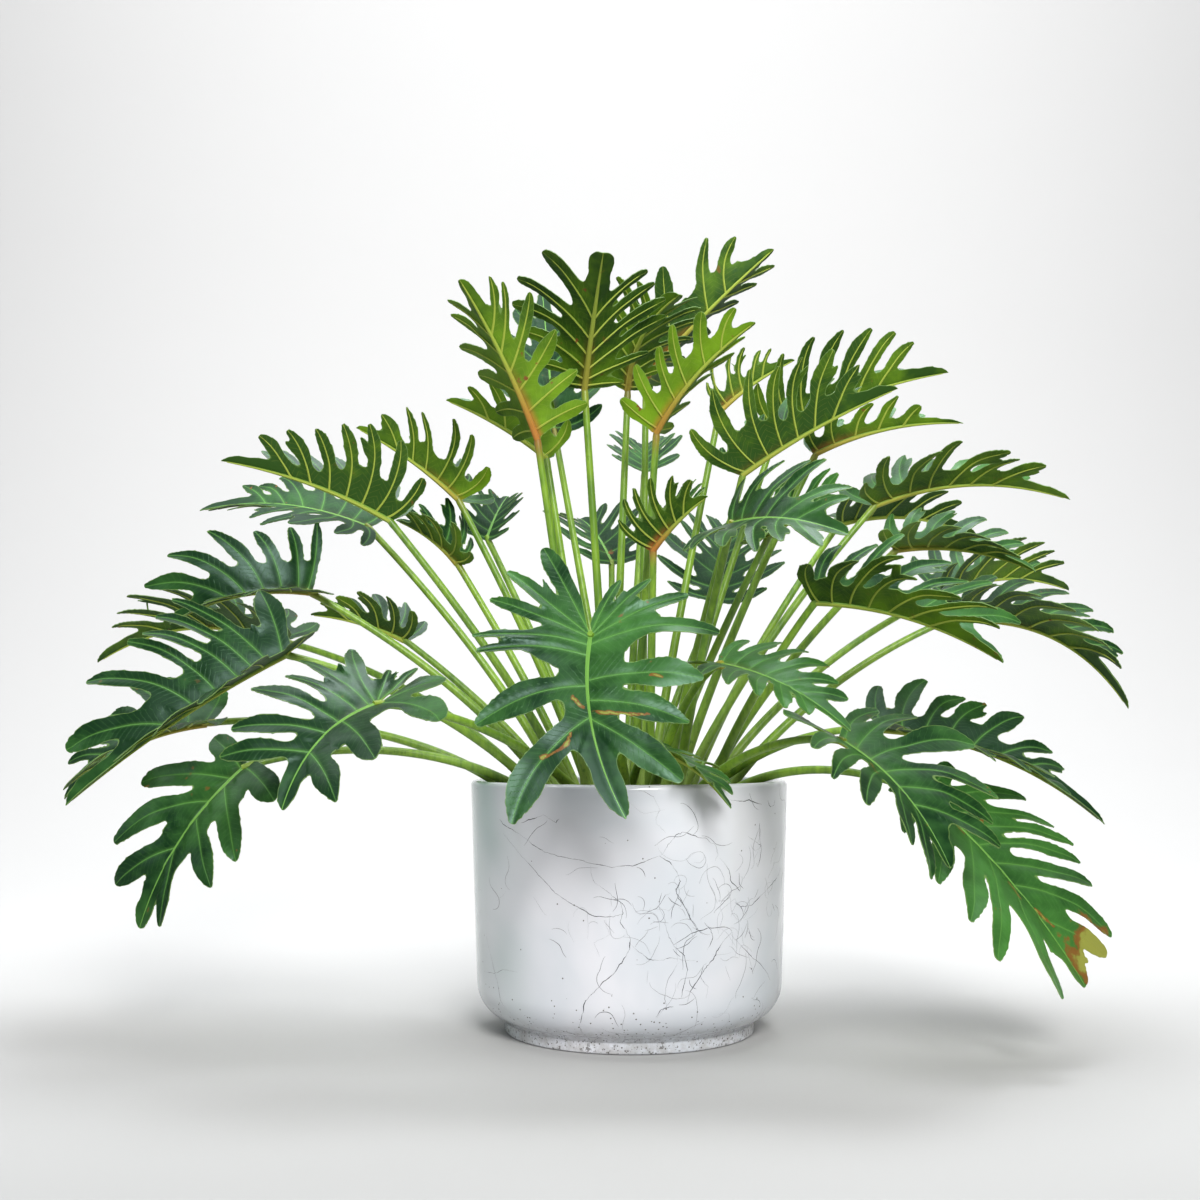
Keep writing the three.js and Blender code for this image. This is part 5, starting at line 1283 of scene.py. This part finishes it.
def makeSoil():
    s = soilShape
    random = np.random.default_rng(s["seed"])
    rings, sides = s["rings"], s["sides"]
    edge = wallRadius(s["top"]) - potShape["wall"] - s["clear"]
    radii = edge * np.linspace(0, 1, rings + 1)[1:] ** 0.85
    angles = np.arange(sides) * 2 * math.pi / sides
    r, a = np.meshgrid(radii, angles, indexing="ij")
    x, y = r * np.cos(a), r * np.sin(a)
    rough = sum(np.sin(x * f + p) * np.cos(y * f * 1.13 + q) / (1 + f * 3) for f, p, q in
                zip((0.11, 0.23, 0.41, 0.67, 0.93), random.uniform(0, 6, 5), random.uniform(0, 6, 5)))
    rough = rough * s["rough"] + random.normal(0, s["grit"], x.shape)
    z = domeHeight(r, edge) + rough * smooth(edge, edge * 0.9, r)
    surface = np.stack([x, y, z], -1).reshape(-1, 3)
    bottom = s["top"] - s["depth"]
    under = np.array([(edge * math.cos(t), edge * math.sin(t), bottom) for t in angles])
    points = np.vstack([surface, (0, 0, s["top"] + s["dome"]), under, (0, 0, bottom)])
    top, base = len(surface), len(surface) + 1
    triangles = [fan(0, top, sides)]
    for i in range(rings - 1):
        triangles += band((i + 1) * sides, i * sides, sides)
    triangles += band(base, (rings - 1) * sides, sides)
    triangles.append(turnOver(fan(base, base + sides, sides)))
    bodies = [(points, np.vstack(triangles))]

    # bark crumbs with eight faces, sunk half into the surface
    corners = np.array([(1, 0, 0), (-1, 0, 0), (0, 1, 0), (0, -1, 0), (0, 0, 1), (0, 0, -1)], float)
    faces = np.array([(0, 2, 4), (2, 1, 4), (1, 3, 4), (3, 0, 4),
                      (2, 0, 5), (1, 2, 5), (3, 1, 5), (0, 3, 5)])
    for _ in range(s["crumbs"]):
        angle, distance = random.uniform(0, 2 * math.pi), edge * 0.95 * math.sqrt(random.uniform(0, 1))
        size = random.uniform(s["crumbSmall"], s["crumbLarge"])
        shape = corners * size * random.uniform(0.5, 1.3, 3) + random.normal(0, 0.12 * size, (6, 3))
        spin = random.uniform(0, math.pi)
        turn = np.array([(math.cos(spin), -math.sin(spin), 0), (math.sin(spin), math.cos(spin), 0),
                         (0, 0, 1)])
        height = domeHeight(distance, edge) + 0.2 * size
        at = np.array([distance * math.cos(angle), distance * math.sin(angle), height])
        bodies.append((shape @ turn + at, faces))
    piece = addMesh("soil_potting_mix", *merged(bodies), [makeSoilMaterial()], sharp=35)
    return seat(piece, "soil")


def makeStem():
    s = stemShape
    v = stemFinish
    material, tree, shader = newMaterial("crownStem")
    patches = cloud(tree, place(tree, (1, 1, 3)), v["scale"], 4, 0.6)
    colour = blend(tree, ease(tree, patches, 0.40, 0.62), v["brown"], v["green"])
    tree.links.new(colour, shader.inputs["Base Color"])
    shader.inputs["Roughness"].default_value = v["rough"]
    relief(tree, shader, patches, v["relief"], v["reliefDepth"])
    base = soilShape["top"] - s["depth"]
    profile = [(0, base), (s["radius"] * 0.9, base)]
    for i in range(1, s["rings"]):
        part = i / s["rings"]
        height = base + (s["top"] - base) * part
        radius = s["radius"] * (1 - 0.62 * max(0, part - 0.62) ** 1.3 / 0.38 ** 1.3)
        profile.append((radius + s["scar"] * math.sin(i * 1.9), height))  # scars of old leaves
    profile += [(s["radius"] * 0.2, s["top"] + 1), (0, s["top"] + 2)]
    piece = addMesh("crown_stem_scarred", *turned(profile, s["sides"]), [material], sharp=70)
    return seat(piece, "crown_stem")


makeSoil()
makeStem()
print("soil and crown made")


# floor, backdrop, light and camera

studio = {  # lights and camera in metres, the floor in millimetres
    "worldColour": (0.93, 0.96, 1.0), "worldStrength": 0.13, "exposure": 0.0,
    "lights": {
        "key": {"at": (0.5, -2.9, 1.8), "aim": (0, 0, 0.33), "size": 1.1, "watts": 124,
                "colour": (1.0, 0.99, 0.97)},
        "fill": {"at": (-2.6, -1.2, 1.4), "aim": (0, 0, 0.4), "size": 1.6, "watts": 10,
                 "colour": (0.90, 0.96, 1.0)},
        "top": {"at": (0.3, 0.6, 2.9), "aim": (0, 0, 0.4), "size": 1.5, "watts": 46,
                "colour": (0.94, 0.98, 1.0)},
        "wall": {"at": (0, 1.2, 4.2), "aim": (0, 4.6, 2.6), "size": 7.0, "watts": 420,
                 "colour": (1.0, 1.0, 1.0)},
    },
}
floorShape = {
    "front": -6000, "back": 4600, "bend": 3400, "bendSteps": 14, "wallTop": 5200, "half": 9000,
    "level": -0.4,
}
floorFinish = {"pale": (0.48, 0.48, 0.48), "shade": (0.44, 0.44, 0.445), "rough": 0.75, "gloss": 0.2}
cameraView = {
    "at": (-0.0275, -1.4, 0.278), "pitch": 5.14, "focalPixels": 1456, "photoPixels": 1200, "sensor": 36,
}


def makeFloor():  # a floor that bends up into the backdrop
    s = floorShape
    v = floorFinish
    material, tree, shader = newMaterial("paleFloor")
    grain = cloud(tree, place(tree), 3, 2)
    colour = blend(tree, times(tree, grain, 0.05), v["pale"], v["shade"])
    tree.links.new(colour, shader.inputs["Base Color"])
    shader.inputs["Roughness"].default_value = v["rough"]
    shader.inputs["Specular IOR Level"].default_value = v["gloss"]
    start = s["back"] - s["bend"]
    profile = [(y, s["level"]) for y in (s["front"], -2500, -800, 400, start)]
    for i in range(1, s["bendSteps"] + 1):
        angle = math.radians(90 * i / s["bendSteps"])
        profile.append((start + s["bend"] * math.sin(angle), s["bend"] - s["bend"] * math.cos(angle)))
    profile += [(s["back"], 4300), (s["back"], s["wallTop"])]
    points, triangles = [], []
    for i, (y, z) in enumerate(profile):
        points += [(-s["half"], y, z), (s["half"], y, z)]
        if i:
            a = 2 * i
            triangles += [(a - 2, a - 1, a + 1), (a - 2, a + 1, a)]
    floor = addMesh("pale_floor", points, triangles, [material], sharp=60)


def makeLight(name):
    v = studio["lights"][name]
    data = bpy.data.lights.new(name + "Light", "AREA")
    data.shape = "DISK"
    data.size = v["size"]
    data.energy = v["watts"]
    data.color = v["colour"]
    light = bpy.data.objects.new(name + "Light", data)
    bpy.context.scene.collection.objects.link(light)
    light.location = v["at"]
    aim = Vector(v["aim"]) - Vector(v["at"])
    light.rotation_euler = aim.to_track_quat("-Z", "Y").to_euler()


def makeCamera():
    v = cameraView
    data = bpy.data.cameras.new("studioCamera")
    data.sensor_width = v["sensor"]
    data.lens = v["focalPixels"] / v["photoPixels"] * v["sensor"]
    data.clip_end = 60
    camera = bpy.data.objects.new("studioCamera", data)
    bpy.context.scene.collection.objects.link(camera)
    camera.location = v["at"]
    camera.rotation_euler = (math.radians(90 + v["pitch"]), 0, 0)
    bpy.context.scene.camera = camera


makeFloor()
for name in studio["lights"]:
    makeLight(name)
makeCamera()
world = bpy.data.worlds.new("studioWorld")
world.use_nodes = True
background = world.node_tree.nodes["Background"]
background.inputs["Color"].default_value = (*studio["worldColour"], 1)
background.inputs["Strength"].default_value = studio["worldStrength"]
bpy.context.scene.world = world
bpy.context.scene.view_settings.view_transform = "Standard"
bpy.context.scene.view_settings.exposure = studio["exposure"]
print("studio lit")
